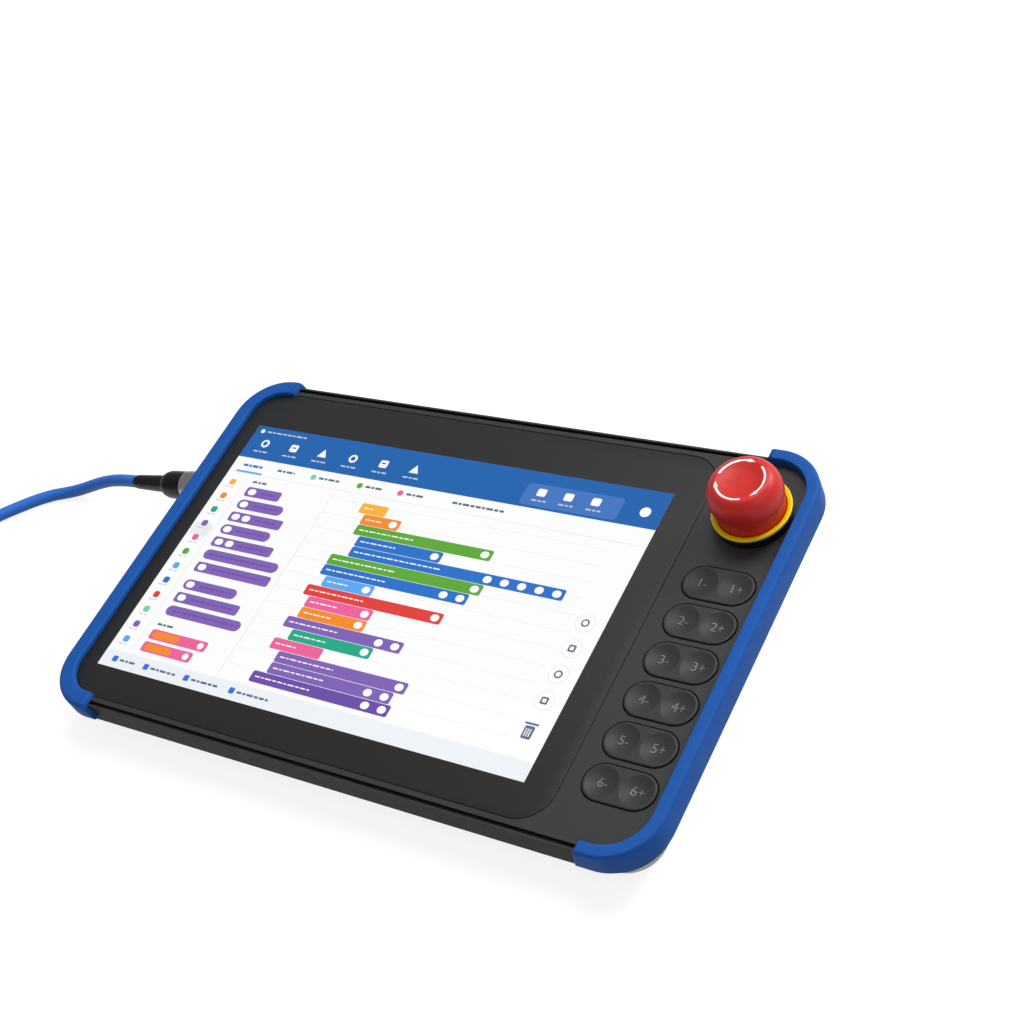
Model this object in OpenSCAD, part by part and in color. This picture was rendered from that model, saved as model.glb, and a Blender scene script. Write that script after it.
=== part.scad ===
// Hand-held teach pendant with a tilted touch screen, six jog keys, an emergency stop,
// a three-position enabling switch and a cable plugged into its side.
// Every piece is modelled flat, face up, with the middle of the face at the origin,
// and rest() then lays the whole on its back, as it lies on a table.

/* [Body] */
// Width of the front frame
body_w = 288.8; // [280:0.2:300]
// Height of the front frame
body_h = 180; // [174:0.2:190]
// Radius of the body's corners
corner_r = 20; // [16:0.5:24]
// Depth of the front frame, from the face to the parting line
frame_d = 11; // [10.5:0.1:14]
// Thickness of the frame's side wall
wall = 3; // [2.4:0.1:3.6]
// Thickness of the frame's face
face_t = 3.6; // [3.2:0.1:4.2]
// Width of the groove that runs round the face
groove_w = 1.6; // [1:0.1:2]
// Depth of that groove
groove_d = 2; // [1:0.1:2.6]
// Width of the rim outside the groove
rim_w = 0.9; // [0.6:0.1:1.4]

/* [Rear cover] */
// Depth of the flat back, from the face
back_d = 24; // [23:0.5:28]
// How far the cover's sides lean in from the parting line to the back
lean = 6.5; // [5:0.5:8]
// Radius of the back's outer edge
back_r = 3; // [2:0.5:4]
// Thickness of the cover's back
cover_t = 3; // [2.4:0.1:3.4]
// Width of the cover's rim along the sides
rim_side = 10.5; // [9.5:0.5:12]
// Width of the cover's rim along the top and bottom
rim_top = 13.1; // [12:0.5:15]
// How far the upper part of the back stands out
step_d = 1.8; // [1:0.1:2.5]

/* [Grips] */
// How far the grips stand out from the back
grip_d = 26; // [22:0.5:30]
// Thickness of the grips' walls
grip_wall = 3; // [2.4:0.1:3.6]
// From the body's side to the grip's flat
grip_side = 33.4; // [30:0.2:36]
// From the body's top to the grip's flat
grip_top = 15.3; // [14:0.2:18]
// Width of the grip's flat
grip_w = 67; // [62:0.5:72]
// Height of the grip's flat
grip_h = 49; // [45:0.5:54]
// Width of the grip's slanted corner
grip_cut_w = 27.4; // [24:0.2:30]
// Height of the grip's slanted corner
grip_cut_h = 29.9; // [26:0.2:32]

/* [Screen] */
// From the lit picture to the body's right side
screen_right = 57.2; // [57.2:0.2:74]
// Height of the dark bands above and below the lit picture, together
screen_bands = 44.4; // [40:0.2:60]
// From the body's left side to the lit picture
screen_left = 14.6; // [14:0.1:16]
// How far the picture's middle lies below the body's
screen_drop = 2.6; // [0:0.1:4]
// Width of the strip for the keys, from the touch glass to the body's right side
strip_w = 43; // [40:0.2:45.8]
// From the touch glass to the body's top and bottom
glass_rim = 4.8; // [4.5:0.1:7.5]
// Thickness of the touch glass
glass_t = 1.8; // [1.1:0.1:2]
// Radius of the glass's corners
glass_r = 14; // [8:0.5:16]
// Thickness of the adhesive seal under the glass
seal_t = 0.3; // [0.2:0.1:0.5]
// Thickness of the display panel
panel_t = 4.2; // [3:0.1:4.4]

/* [Bumpers] */
// Thickness of the bumpers on the body's sides
bumper_t = 2.2; // [1.6:0.1:3]
// How far the bumpers reach down the body's sides
bumper_drop = 7.5; // [6:0.1:9]
// How far the left bumper laps over the face
lap_left = 5.6; // [4.5:0.1:6]
// How far the left bumper stands above the face
rise_left = 2.2; // [1.4:0.1:3]
// How far the right bumper laps over the face
lap_right = 3; // [2.8:0.1:4]
// How far the right bumper stands above the face, as a guard
rise_right = 4; // [3:0.1:5]
// How far the bumpers' ends reach in from the body's sides
bumper_reach = 25.4; // [22.4:0.5:32.4]

/* [Jog keys] */
// Length of a jog key
key_l = 29; // [27:0.1:30]
// Space between one jog key and the next
key_between = 3.1; // [2.7:0.1:3.9]
// Gap round a jog key
key_gap = 0.6; // [0.5:0.05:0.7]
// From the last key's edge to the body's bottom
key_low = 20.2; // [16.7:0.1:21.7]
// From the body's right side to the middle of the keys
key_side = 21.3; // [20.9:0.1:22.5]
// From the body's top down to the first key's edge
key_down = 55.5; // [53.6:0.1:57.6]
// Depth of the finger dishes
dish_d = 1; // [0.6:0.1:1.4]
// How much narrower than its key a finger dish is
dish_rim = 1.8; // [1.6:0.1:3.8]
// Radius of a key's pivot pin
key_pin_r = 1; // [0.8:0.05:1.2]

/* [Emergency stop] */
// From the body's right side to the button's axis
stop_side = 20.2; // [19.9:0.1:22]
// From the body's top down to the button's axis
stop_down = 29.4; // [27:0.2:32]
// Radius of the red head
head_r = 14.8; // [13.8:0.1:15]
// Height of the red head's top above the face
head_top = 22.9; // [21:0.1:25]
// Radius of the yellow ring
ring_r = 15.9; // [15.5:0.1:16.1]
// Height of the yellow ring's edge above the face
ring_top = 5.8; // [5.2:0.1:6.4]
// Radius of the barrel that passes through the face
barrel_r = 11; // [10:0.1:11.5]
// Radius of the sliding stem
stem_r = 4; // [3:0.1:5]
// Travel of the head when it is pressed
stop_travel = 4; // [3:0.1:4]

/* [Enabling switch] */
// Length of the switch's bezel
bezel_l = 47; // [42:0.5:49]
// Height of the bezel
bezel_h = 18; // [16.8:0.2:18.6]
// Length of the paddle where it leaves the bezel
paddle_l = 33.6; // [30:0.2:35]
// Length of the paddle's outer face
paddle_top_l = 24.6; // [20:0.2:28]
// Height of the paddle
paddle_h = 14; // [12:0.2:14.6]
// How far the paddle stands out of the bezel
paddle_out = 6.7; // [5:0.1:8]
// Travel of the paddle when it is squeezed
paddle_travel = 3.5; // [2.5:0.1:3.8]

/* [Hand strap] */
// From the body's side to the end of the strap
strap_side = 14.7; // [13.4:0.1:24.4]
// Width of the strap's recess
strap_w = 21.6; // [18:0.2:24]
// Depth of the recess
strap_d = 2.4; // [1.6:0.1:2.8]
// From the middle of the body down to the strap's middle line
strap_down = 29.8; // [26:0.2:36]
// Depth of the finger notch
notch_d = 4.6; // [3:0.1:5]

/* [Connector] */
// From the body's top down to the connector's axis
plug_down = 43.6; // [42:0.2:46]
// Angle by which the connector points away from the screen
plug_tilt = 8; // [4:0.5:10]
// Radius of the moulded boss round the socket
boss_r = 15.5; // [13:0.5:16]
// Radius of the socket's body
socket_r = 8.5; // [7.5:0.1:9]
// Diameter of the cable
cable_d = 6.2; // [5:0.1:7]

/* [Hidden] */
$fn = 64;

// Clearances
run_gap = 0.05;   // radial gap of a running fit
seat_gap = 0.02;  // radial gap of a screw or pin in its hole
fit_gap = 0.15;   // gap round an inset piece
slip = 0.3;       // gap round a piece that slides in a mouth
eps = 0.01;
far_out = 80;     // long enough to cut right through

// Half sizes of the body
hw = body_w / 2;
hh = body_h / 2;
groove_in = rim_w + groove_w;

bumper_end = hw - bumper_reach;

// The rear cover is a little smaller than the frame
cover_inset = 0.4;
cw = hw - cover_inset;
ch = hh - cover_inset;
cover_r = corner_r - cover_inset;
cavity_d = back_d - cover_t;

// Edge of the cover's back: the lean's angle and the rounding's centre
lean_a = atan2(back_d - frame_d, lean);
round_t = back_r * tan(lean_a / 2);
round_in = lean + round_t;
step_low = hh - 58.5;
step_high = hh - 38;

// Rest feet along the lower edge of the grips' flats
foot_r = 1.6;
foot_l = 23.6;
face_z = -(back_d + grip_d);
foot_y = hh - grip_top - grip_h + 0.4;
foot_z = face_z + 0.7;
foot_aside = 3.7;
foot_x = hw - grip_side - grip_w / 2 + foot_aside;

// Lying pose: the body touches the table with its rounded lower edge and with its feet
touch_y = ch - round_in;
touch_z = back_d - back_r;
arm_y = foot_y + touch_y;
arm_z = -foot_z - touch_z;
tilt = asin((foot_r - back_r) / norm([arm_y, arm_z])) + atan2(arm_z, arm_y);
guard_edge = rise_right - 1;
lift = foot_r - foot_y * sin(tilt) - foot_z * cos(tilt);
shift = (guard_edge - bumper_drop) * sin(tilt) / 2;

// Screw posts at the sides
boss_post_r = 3;
side_x = hw - 6.8;

// Screen and glass
screen_w = body_w - screen_left - screen_right;
screen_h = body_h - screen_bands;
screen_x = -hw + screen_left + screen_w / 2;
glass_side = 5;
glass_w = body_w - glass_side - strip_w;
glass_h = body_h - 2 * glass_rim;
glass_x = -hw + glass_side + glass_w / 2;
glass_y = 0;
panel_w = screen_w + 9;
panel_h = screen_h + 10;
panel_gap = 0.5;
panel_z = -(glass_t + fit_gap);
panel_back = panel_z - panel_t;
plate_t = 1.2;
plate_z = panel_back - 0.2;
plate_back = plate_z - plate_t;
plate_w = 2 * (side_x - boss_post_r - 0.4 + screen_x);
plate_h = screen_h + 12;
tab_w = 9;
tab_top = hh - 15;
tab_low = 10 - hh;
tab_first = 29.4 - hw;
tab_last = hw - 56.4;
tab_xs = [for (i = [0:3]) tab_first + i * (tab_last - tab_first) / 3];
post_r = 2.6;
small_screw_r = 1.25;
small_head_r = 2.25;
small_head_h = 1.6;
board_w = panel_w - 56;
board_h = panel_h - 33.6;
board_x = screen_x - 2.7;
board_y = 0;
board_t = 1.6;
standoff_h = 3.6;
board_z = plate_back - standoff_h;
board_back = board_z - board_t;
standoff_r = 2.5;
standoff_x = board_w / 2 - 5;
standoff_y = board_h / 2 - 5;
chip_x = board_w * 4 / 17;
chip_y = board_h * 3 / 28;
chip_w = 31;
chip_hole_r = 14;
socket_xs = [-6.6, -4, 6] * board_w / 17;

// Housing screws: a counterbored row along the top and bottom, and two on each side
screw_r = 1.5;
screw_head_r = 2.75;
screw_head_h = 3;
screw_hole_r = 1.7;
counterbore_r = 2.95;
screw_seat = frame_d + 5;
screw_depth = frame_d - 6;
row_y = hh - 8.6;
row_x = hw - 17.6;
row_mid = hw - 82.4;
screw_at = [[-row_x, row_y], [-row_mid, row_y], [0, row_y], [row_mid, row_y], [row_x, row_y],
    [-row_x, -row_y], [-row_mid, -row_y], [0, -row_y], [row_mid, -row_y], [row_x, -row_y],
    [-side_x, hh * 0.248], [side_x, hh * 0.434], [-side_x, -hh * 0.392], [side_x, -hh * 0.392]];

// Gasket in the parting line
gasket_w = 1.4;
gasket_in = 1.2;
gasket_up = 0.5;
gasket_down = 0.7;

// Jog keys
key_x = hw - key_side;
key_pitch = (body_h - key_down - key_low + key_between) / 6;
key_w = key_pitch - key_between;
key_top = hh - key_down - key_w / 2;
dish_w = key_w - dish_rim;
key_ys = [for (i = [0:5]) key_top - i * key_pitch];
key_rise = 0.5;
key_cap = 2.6;
key_skirt_t = 1.2;
key_skirt_z = -4.6;
key_pin_z = -4.2;
key_lug_w = 5;
key_lug_z = -5.6;
key_post_r = 1.6;
key_post_z = -5.9;
key_dish_x = key_l / 2 - key_w / 2;
dish_ball = (pow(dish_w / 2, 2) + pow(dish_d, 2)) / (2 * dish_d);
well_z = -7.5;
well_l = key_l + 2 * key_gap;
well_w = key_w + 2 * key_gap;
block_l = 2 * (key_side - wall);
block_w = 5 * key_pitch + well_w + 12;
pin_reach = min(0.8, (key_pitch - well_w) / 2 - 0.1);
pad_t = 1;
pad_in = key_x - well_l / 2;
pad_out = side_x - boss_post_r - 0.4;
pad_h = block_w - 0.6;
pad_y = key_top - 2.5 * key_pitch;
dome_r = 2.4;
dome_top = well_z + 0.7;
key_board_z = well_z - pad_t;
key_board_t = 1.6;

// Emergency stop
stop_x = hw - stop_side;
stop_up = hh - stop_down;
collar_r = ring_r - 0.7;
collar_in = head_r - 0.9;
ring_low = ring_top - 1.6;
head_low = ring_low + 0.4;
head_skirt_r = collar_in - slip;
barrel_low = -10.5;
nut_h = 3;
nut_flats = 2 * barrel_r + 5;
contact_w = 17;
contact_h = 22;
contact_low = slip + 0.9 - cavity_d;
stem_top = head_top - 5;
stem_low = barrel_low + stop_travel + 0.5;

// Enabling switch, set in the slanted wall of the right-hand grip
grip_in = hw - grip_side - grip_w;
grip_up = hh - grip_top;
slant = atan2(grip_cut_h, grip_cut_w);
slant_mid = [grip_in + grip_cut_w / 2, grip_up - grip_cut_h / 2];
slant_n = [-sin(slant), cos(slant)];
bezel_out = 3;
bezel_in = -5.6;
switch_z = face_z + 11;
shelf_out = 8.6;
shelf_t = 1.55;
bezel_floor = 0.5;
paddle_in = bezel_in + paddle_travel + bezel_floor;
rod_r = 3;
rod_in = bezel_in - 7;
switch_d = 15;
switch_l = 38;

// Power button and USB port in the top wall
power_x = 46.6 - hw;
power_l = 12.1;
power_h = 4.6;
power_out = 1;
power_travel = 1;
port_x = 68.5 - hw;
port_z = -5.6;
usb_w = 9;
usb_h = 3.3;
usb_t = 0.35;
usb_d = 10;
cover_w = 15;
cover_low = -9;
cover_top = -3.2;
cover_plate = 1.4;
port_pin_r = 0.5;
knuckle_r = 0.95;
port_hinge_y = hh - knuckle_r;

// Hand strap
strap_l = body_w - 2 * strap_side;
strap_y = -strap_down;
strap_screw_up = 4;
strap_screw_in = 5.7;
plate_len = 11.9;
strap_t = strap_d - 0.2;
notch_w = 31.8;
notch_h = 5.4;
strap_screw_r = 2.4;
strap_pad = 3;
label_w = 2 * (grip_in - 8.9);
label_h = 25.3;
label_y = 7.8;
label_d = 0.3;

// Connector: all of it lies on one axis that leaves the left side
plug_end = [-hw + 0.9, hh - plug_down, -27.7];
boss_end_r = 10.4;
boss_taper = 7.6;
boss_len = 40;
flange_r = 9.9;
flange_t = 1.2;
socket_deep = 11;
plug_in_r = 6.4;
plug_in_l = 9;
nut_r = 9;
nut_l = 13;
barrel_end = 43;
coupling_r = 7.4;
grip_end = 59;
grip_r = 6.9;
relief_end = 77.6;
relief_r0 = 4.1;
relief_r1 = 3.5;

// Cable: route of the stretch that isn't coiled, on the table, from below the end of the
// strain relief. Its first point is that end and its last one lies in the coil.
cable_r = cable_d / 2;
plug_way = [-cos(plug_tilt), 0, -sin(plug_tilt)];
lead_flat = plug_end + relief_end * plug_way;
lead_y = cos(tilt) * lead_flat[1] - sin(tilt) * lead_flat[2] + shift;
lead_at = [lead_flat[0], lead_y, 0];
route_in = [for (p = [[-0.2, 0, 17], [-4.7, 0.3, 16.4], [-11.7, 0.6, 15.3], [-19.7, 0.8, 13.6],
    [-28.7, 0.7, 10.8], [-37.7, -0.2, 7.6], [-45.7, -1.6, 4.9], [-53.7, -4, 3.3],
    [-60.7, -7.8, 3.1], [-67.2, -13.8, 3.1], [-72.7, -20.8, 3.1], [-78.2, -28.8, 3.1],
    [-83.2, -37.8, 3.1], [-87.7, -47.3, 3.1], [-91.2, -56.8, 3.4], [-93.5, -68.8, 3.7]])
    lead_at + p];
turns_wide = 4;
turns_high = 4;
tie_w = 8;
tie_t = 0.6;
coil_r = 36;
coil_in = coil_r - turns_wide * cable_d / 2;
coil_out = coil_r + turns_wide * cable_d / 2;
coil_h = turns_high * cable_d;
coil_z = tie_t;
lead_aside = 93.5;
lead_back = 68.8;
coil_x = lead_at[0] - lead_aside - coil_out + cable_r;
coil_y = lead_at[1] - lead_back;
route_out = [for (p = [[0, 0, 9.9], [0, -6, 9.9], [0, -12, 9.7], [0, -19, 9.4], [0, -26, 9.1],
    [0, -31.7, 9], [0, -37.7, 9]]) [coil_x + coil_out - cable_r, coil_y, 0] + p];
far_x = coil_x + coil_out - cable_r;
far_y = coil_y - 56.1;
far_z = 9;
far_grip_l = 20;
far_neck_l = 8;
far_pin_l = 8;

// ---- plain outlines ----------------------------------------------------------------

// Rectangle with round corners
module round_rect(w, h, r) {
    square([w - 2 * r, h], center = true);
    square([w, h - 2 * r], center = true);
    for (x = [-1, 1], y = [-1, 1])
        translate([x * (w / 2 - r), y * (h / 2 - r)]) circle(r = r);
}

// Slot with round ends, along X
module pill(l, w) {
    square([l - w, w], center = true);
    for (x = [-1, 1]) translate([x * (l - w) / 2, 0]) circle(d = w);
}

// Slab between two heights
module slab(z_low, z_high) {
    translate([0, 0, z_low]) linear_extrude(z_high - z_low) children();
}

// Sweeps a section once round a rectangle with round corners. The section's X is the
// distance from the corner's centre and its Y is the height.
module round_sweep(w, h, r) {
    for (q = [0:3]) {
        long = q % 2 == 0 ? h : w;
        wide = q % 2 == 0 ? w : h;
        rotate([0, 0, 90 * q]) {
            translate([wide / 2 - r, long / 2 - r, 0]) rotate_extrude(angle = 90) children();
            translate([wide / 2 - r, long / 2 - r, 0]) rotate([90, 0, 0])
                linear_extrude(long - 2 * r) children();
        }
    }
}

// Sweeps a section along one side and round its two corners, out to the bumper's ends
module side_sweep(w, h, r, reach) {
    for (m = [0, 1]) mirror([0, m, 0]) {
        translate([w / 2 - r, h / 2 - r, 0]) rotate_extrude(angle = 90) children();
        translate([w / 2 - r, h / 2 - r, 0]) rotate([90, 0, 0])
            linear_extrude(h / 2 - r) children();
        translate([reach, h / 2 - r, 0]) rotate([90, 0, 90])
            linear_extrude(w / 2 - r - reach) children();
    }
}

// Bar along X with a round section
module bar_x(r, l) { rotate([0, 90, 0]) cylinder(r = r, h = l, center = true); }

// Bar along Y with a round section
module bar_y(r, l) { rotate([90, 0, 0]) cylinder(r = r, h = l, center = true); }

// ---- lofts and sweeps --------------------------------------------------------------

function lerp(a, b, t) = a + (b - a) * t;

// Point on the edge from p towards q, a given cut away from p
function edge_point(p, q, cut) = p + (q - p) / norm(q - p) * cut;

// Closed outline through corners [x, y, z, cut]: each corner is a curve that starts and
// ends the cut away from it, and each straight stretch has m points of its own
function outline(cs, n, m) = [for (i = [0:len(cs) - 1])
    let (k = len(cs), c = cs[i], before = cs[(i + k - 1) % k], after = cs[(i + 1) % k],
        p = [c[0], c[1], c[2]], q = [before[0], before[1], before[2]],
        s = [after[0], after[1], after[2]],
        a = edge_point(p, q, c[3]), b = edge_point(p, s, c[3]),
        e = edge_point(s, p, after[3]))
    each concat(
        [for (j = [0:n]) let (t = j / n) a * pow(1 - t, 2) + p * 2 * t * (1 - t) + b * t * t],
        [for (j = [1:m]) lerp(b, e, j / (m + 1))])];

// One ring of a grip between its foot and its flat. Away from the body's side the wall
// rises in a hollow curve to a crisp edge; towards the side it rolls over softly.
function grip_ring(foot, flat, t, soft_from, soft_to) = [for (k = [0:len(foot) - 1])
    let (b = (1 - cos(180 * t)) / 2,
        soft = min(1, max(0, (foot[k][0] - soft_from) / (soft_to - soft_from))),
        a = lerp(pow(b, 2 / 3), t, soft))
    [lerp(foot[k][0], flat[k][0], a), lerp(foot[k][1], flat[k][1], a),
        lerp(foot[k][2], flat[k][2], b)]];

// Closed solid through a list of rings, with a fan of triangles over each end
function middle(ring) = [for (p = ring) 1] * ring / len(ring);
module loft(rings) {
    n = len(rings[0]);
    last = n * (len(rings) - 1);
    low = last + n;
    high = low + 1;
    sides = [for (i = [0:len(rings) - 2], k = [0:n - 1])
        let (a = i * n + k, b = i * n + (k + 1) % n) each [[a, b, a + n], [b, b + n, a + n]]];
    caps = [for (k = [0:n - 1]) let (j = (k + 1) % n)
        each [[low, j, k], [high, last + k, last + j]]];
    ends = [middle(rings[0]), middle(rings[len(rings) - 1])];
    polyhedron(points = concat([for (r = rings) each r], ends), faces = concat(sides, caps));
}

// Directions and rings of a tube along a route
function heading(p, i) = let (a = p[max(0, i - 1)], b = p[min(len(p) - 1, i + 1)])
    (b - a) / norm(b - a);
function tube_ring(p, i, r, n) = let (d = heading(p, i),
        s = cross([0, 0, 1], d) / norm(cross([0, 0, 1], d)),
    u = cross(d, s))
    [for (k = [0:n - 1]) p[i] + r * (cos(360 * k / n) * s + sin(360 * k / n) * u)];
module tube(p, r, n) { loft([for (i = [len(p) - 1:-1:0]) tube_ring(p, i, r, n)]); }

// Lays the flat model on its back
module rest() { translate([0, shift, lift]) rotate([tilt, 0, 0]) children(); }

// ---- front frame -------------------------------------------------------------------

module glass_outline(grow) {
    translate([glass_x, glass_y])
        round_rect(glass_w + 2 * grow, glass_h + 2 * grow, glass_r + grow);
}

module key_wells() {
    for (y = key_ys) translate([key_x, y]) pill(well_l, well_w);
}

module front_frame() {
    color([0.2, 0.2, 0.2]) rest() difference() {
        union() {
            difference() {
                slab(-frame_d, 0) round_rect(body_w, body_h, corner_r);
                slab(-frame_d - 1, -face_t)
                    round_rect(body_w - 2 * wall, body_h - 2 * wall, corner_r - wall);
                round_sweep(body_w, body_h, corner_r)
                    translate([corner_r - groove_in, -groove_d]) square([groove_w, groove_d + 1]);
            }
            slab(well_z, -face_t + eps) translate([key_x, pad_y])
                square([block_l + 2 * eps, block_w], center = true);
            for (p = screw_at) translate([p[0], p[1], -frame_d])
                cylinder(r = boss_post_r, h = frame_d - face_t + eps);
            for (x = tab_xs, y = [tab_low, tab_top]) translate([x, y, plate_z])
                cylinder(r = post_r, h = -plate_z - face_t + eps);
        }
        slab(-glass_t - seal_t, 1) glass_outline(fit_gap);
        slab(-face_t - 1, 0) translate([screen_x, -screen_drop])
            square([panel_w + 2 * panel_gap, panel_h + 2 * panel_gap], center = true);
        slab(well_z - 1, 1) key_wells();
        for (y = key_ys) translate([key_x, y, key_pin_z])
            bar_y(key_pin_r + seat_gap, well_w + 2 * pin_reach);
        translate([stop_x, stop_up, -face_t - 1])
            cylinder(r = barrel_r + fit_gap, h = face_t + 2);
        for (p = screw_at) translate([p[0], p[1], -frame_d - 1])
            cylinder(r = screw_r + seat_gap, h = frame_d - screw_depth + 1.5);
        for (x = tab_xs, y = [tab_low, tab_top]) translate([x, y, plate_z - 1])
            cylinder(r = small_screw_r + seat_gap, h = 3.6);
        for (p = key_screws()) translate([p[0], p[1], well_z - 1])
            cylinder(r = small_screw_r + seat_gap, h = 4.2);
        gasket_band(gasket_up);
        power_mouth();
        port_mouth();
    }
}

module touch_glass() {
    color([0.06, 0.06, 0.065]) rest() slab(-glass_t, 0) glass_outline(0);
}

module glass_seal() {
    color([0.03, 0.03, 0.03]) rest() difference() {
        slab(-glass_t - seal_t, -glass_t) glass_outline(-0.5);
        slab(-glass_t - 1, 0) translate([screen_x, -screen_drop])
            square([panel_w + 2 * panel_gap, panel_h + 2 * panel_gap], center = true);
    }
}

module display_panel() {
    color([0.75, 0.82, 0.9]) rest() translate([screen_x, -screen_drop, 0])
        slab(panel_back, panel_z) square([panel_w, panel_h], center = true);
}

// ---- boards and what carries them --------------------------------------------------

module chassis_plate() {
    color([0.7, 0.7, 0.72]) rest() difference() {
        slab(plate_back, plate_z) {
            translate([screen_x, -screen_drop]) square([plate_w, plate_h], center = true);
            for (x = tab_xs) translate([x, (tab_top + tab_low) / 2])
                square([tab_w, tab_top - tab_low + tab_w], center = true);
        }
        for (x = tab_xs, y = [tab_low, tab_top]) translate([x, y, plate_back - 1])
            cylinder(r = small_screw_r + fit_gap, h = plate_t + 2);
        for (x = [-1, 1]) translate([board_x + x * chip_x, chip_y, plate_back - 1])
            cylinder(r = chip_hole_r, h = plate_t + 2);
    }
}

module small_screw(l) {
    translate([0, 0, -small_head_h]) cylinder(r = small_head_r, h = small_head_h);
    translate([0, 0, -eps]) cylinder(r = small_screw_r, h = l + eps);
}

module chassis_screws() {
    color([0.75, 0.75, 0.77]) rest() for (x = tab_xs, y = [tab_low, tab_top])
        translate([x, y, plate_back]) small_screw(plate_t + 2);
}

module board_standoffs() {
    color([0.8, 0.65, 0.35]) rest() for (x = [-1, 1], y = [-1, 1])
        translate([board_x + x * standoff_x, board_y + y * standoff_y, board_z])
            cylinder(r = standoff_r, h = standoff_h, $fn = 6);
}

module main_board() {
    color([0.1, 0.35, 0.18]) rest() {
        translate([board_x, board_y]) slab(board_back, board_z)
            round_rect(board_w, board_h, 2);
        translate([board_x - chip_x, chip_y]) slab(board_back - 2.2, board_back + eps)
            square([chip_w, chip_w], center = true);
        translate([board_x + chip_x, chip_y]) slab(board_back - 1.2, board_back + eps)
            square([14, 14], center = true);
        for (i = [0:3]) translate([board_x - 8 + 13 * i, -board_h / 7])
            slab(board_back - 1.2, board_back + eps) square([9, 12], center = true);
        for (x = socket_xs) translate([board_x + x, board_y + board_h / 2 - 8])
            slab(board_back - 3, board_back + eps) square([16, 6], center = true);
    }
}

module gasket_band(rise) {
    round_sweep(body_w, body_h, corner_r)
        translate([corner_r - gasket_in - gasket_w, -frame_d - gasket_down])
            square([gasket_w, gasket_down + rise]);
}

module housing_gasket() {
    color([0.05, 0.05, 0.05]) rest() gasket_band(gasket_up);
}

// ---- rear cover --------------------------------------------------------------------

// Section of the cover's leaning edge, with its rounding at the back
module cover_edge_section() {
    centre = [cover_r - round_in, -touch_z];
    polygon(concat([[0, -frame_d], [cover_r, -frame_d]],
        [for (i = [0:4]) let (a = -90 + lean_a * (1 - i / 4))
            centre + back_r * [cos(a), sin(a)]], [[0, -back_d]]));
}

function grip_foot() = [
    [hw - 1.6, hh - 1.6, -frame_d - 2, 20],
    [grip_in + grip_cut_w + 6, hh - 1.6, -frame_d - 2, 12],
    [grip_in - 10.8, grip_up - grip_cut_h - 1.5, 0.5 - back_d, 13],
    [grip_in - 7, grip_up - grip_h - 24, 0.5 - back_d, 25],
    [hw - 1.6, grip_up - grip_h - 33, -frame_d - 2, 8]];

function grip_flat() = [
    [hw - grip_side, grip_up, face_z, 5],
    [grip_in + grip_cut_w, grip_up, face_z, 3],
    [grip_in, grip_up - grip_cut_h, face_z, 5],
    [grip_in, grip_up - grip_h, face_z, 13],
    [hw - grip_side, grip_up - grip_h, face_z, 5]];

module grip() {
    foot = outline(grip_foot(), 6, 3);
    flat = outline(grip_flat(), 6, 3);
    under = [for (p = foot) [p[0], p[1], -frame_d - 0.5]];
    loft(concat([under], [for (i = [0:8]) grip_ring(foot, flat, i / 8, hw - 42, hw - 10)]));
}

// Hollow of a grip: a straight loft that keeps a wall's thickness inside
function hollow_foot() = [
    [hw - 14, hh - 14.5, 0, 8],
    [grip_in + grip_cut_w + 8, hh - 14.5, 0, 4],
    [grip_in - 3.5, grip_up - grip_cut_h - 1, 0, 5],
    [grip_in - 1, grip_up - grip_h - 16, 0, 10],
    [hw - 14, grip_up - grip_h - 16, 0, 8]];

function hollow_flat() = let (w = grip_wall) [
    [hw - grip_side - w, grip_up - w, 0, 4],
    [grip_in + grip_cut_w + w * 0.4, grip_up - w, 0, 2],
    [grip_in + w, grip_up - grip_cut_h - w * 0.4, 0, 2],
    [grip_in + w, grip_up - grip_h + w, 0, 10],
    [hw - grip_side - w, grip_up - grip_h + w, 0, 4]];

module grip_hollow() {
    low = outline(hollow_foot(), 3, 1);
    high = outline(hollow_flat(), 3, 1);
    loft([for (i = [0:1]) [for (k = [0:len(low) - 1])
        [lerp(low[k][0], high[k][0], i), lerp(low[k][1], high[k][1], i),
            lerp(0.5 - cavity_d, face_z + grip_wall, i)]]]);
}

module on_plug_axis() {
    translate(plug_end) rotate([0, -90 - plug_tilt, 0]) children();
}

module plug_boss() {
    difference() {
        on_plug_axis() rotate_extrude() polygon([[0, -boss_len], [boss_r, -boss_len],
            [boss_r, -boss_taper], [boss_r - 1.2, -boss_taper + 2.6], [boss_end_r, 0], [0, 0]]);
        slab(-frame_d, 0) square(2 * body_w, center = true);
    }
}

// Places a piece on the slanted wall: X along the wall, Y out of it, Z as the model's
module on_slant() {
    translate([slant_mid[0], slant_mid[1], switch_z]) rotate([0, 0, slant]) children();
}

module bezel_block(out, grow) {
    on_slant() translate([0, out, 0]) rotate([90, 0, 0])
        linear_extrude(out - bezel_in) pill(bezel_l + 2 * grow, bezel_h + 2 * grow);
}

module cover_shell() {
    slab(-back_d, -frame_d) round_rect(2 * (cw - cover_r + 1), 2 * ch - 2 * cover_r + 2, 0.5);
    round_sweep(2 * cw, 2 * ch, cover_r) cover_edge_section();
    translate([-hw + 22, 0, 0]) rotate([90, 0, 90]) linear_extrude(body_w - 44)
        polygon([[step_low, -back_d + 1], [step_low, -back_d], [step_high, -back_d - step_d],
            [ch - round_in, -back_d - step_d], [ch - round_in + step_d, -back_d + 1]]);
    for (m = [0, 1]) mirror([m, 0, 0]) grip();
    plug_boss();
}

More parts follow.
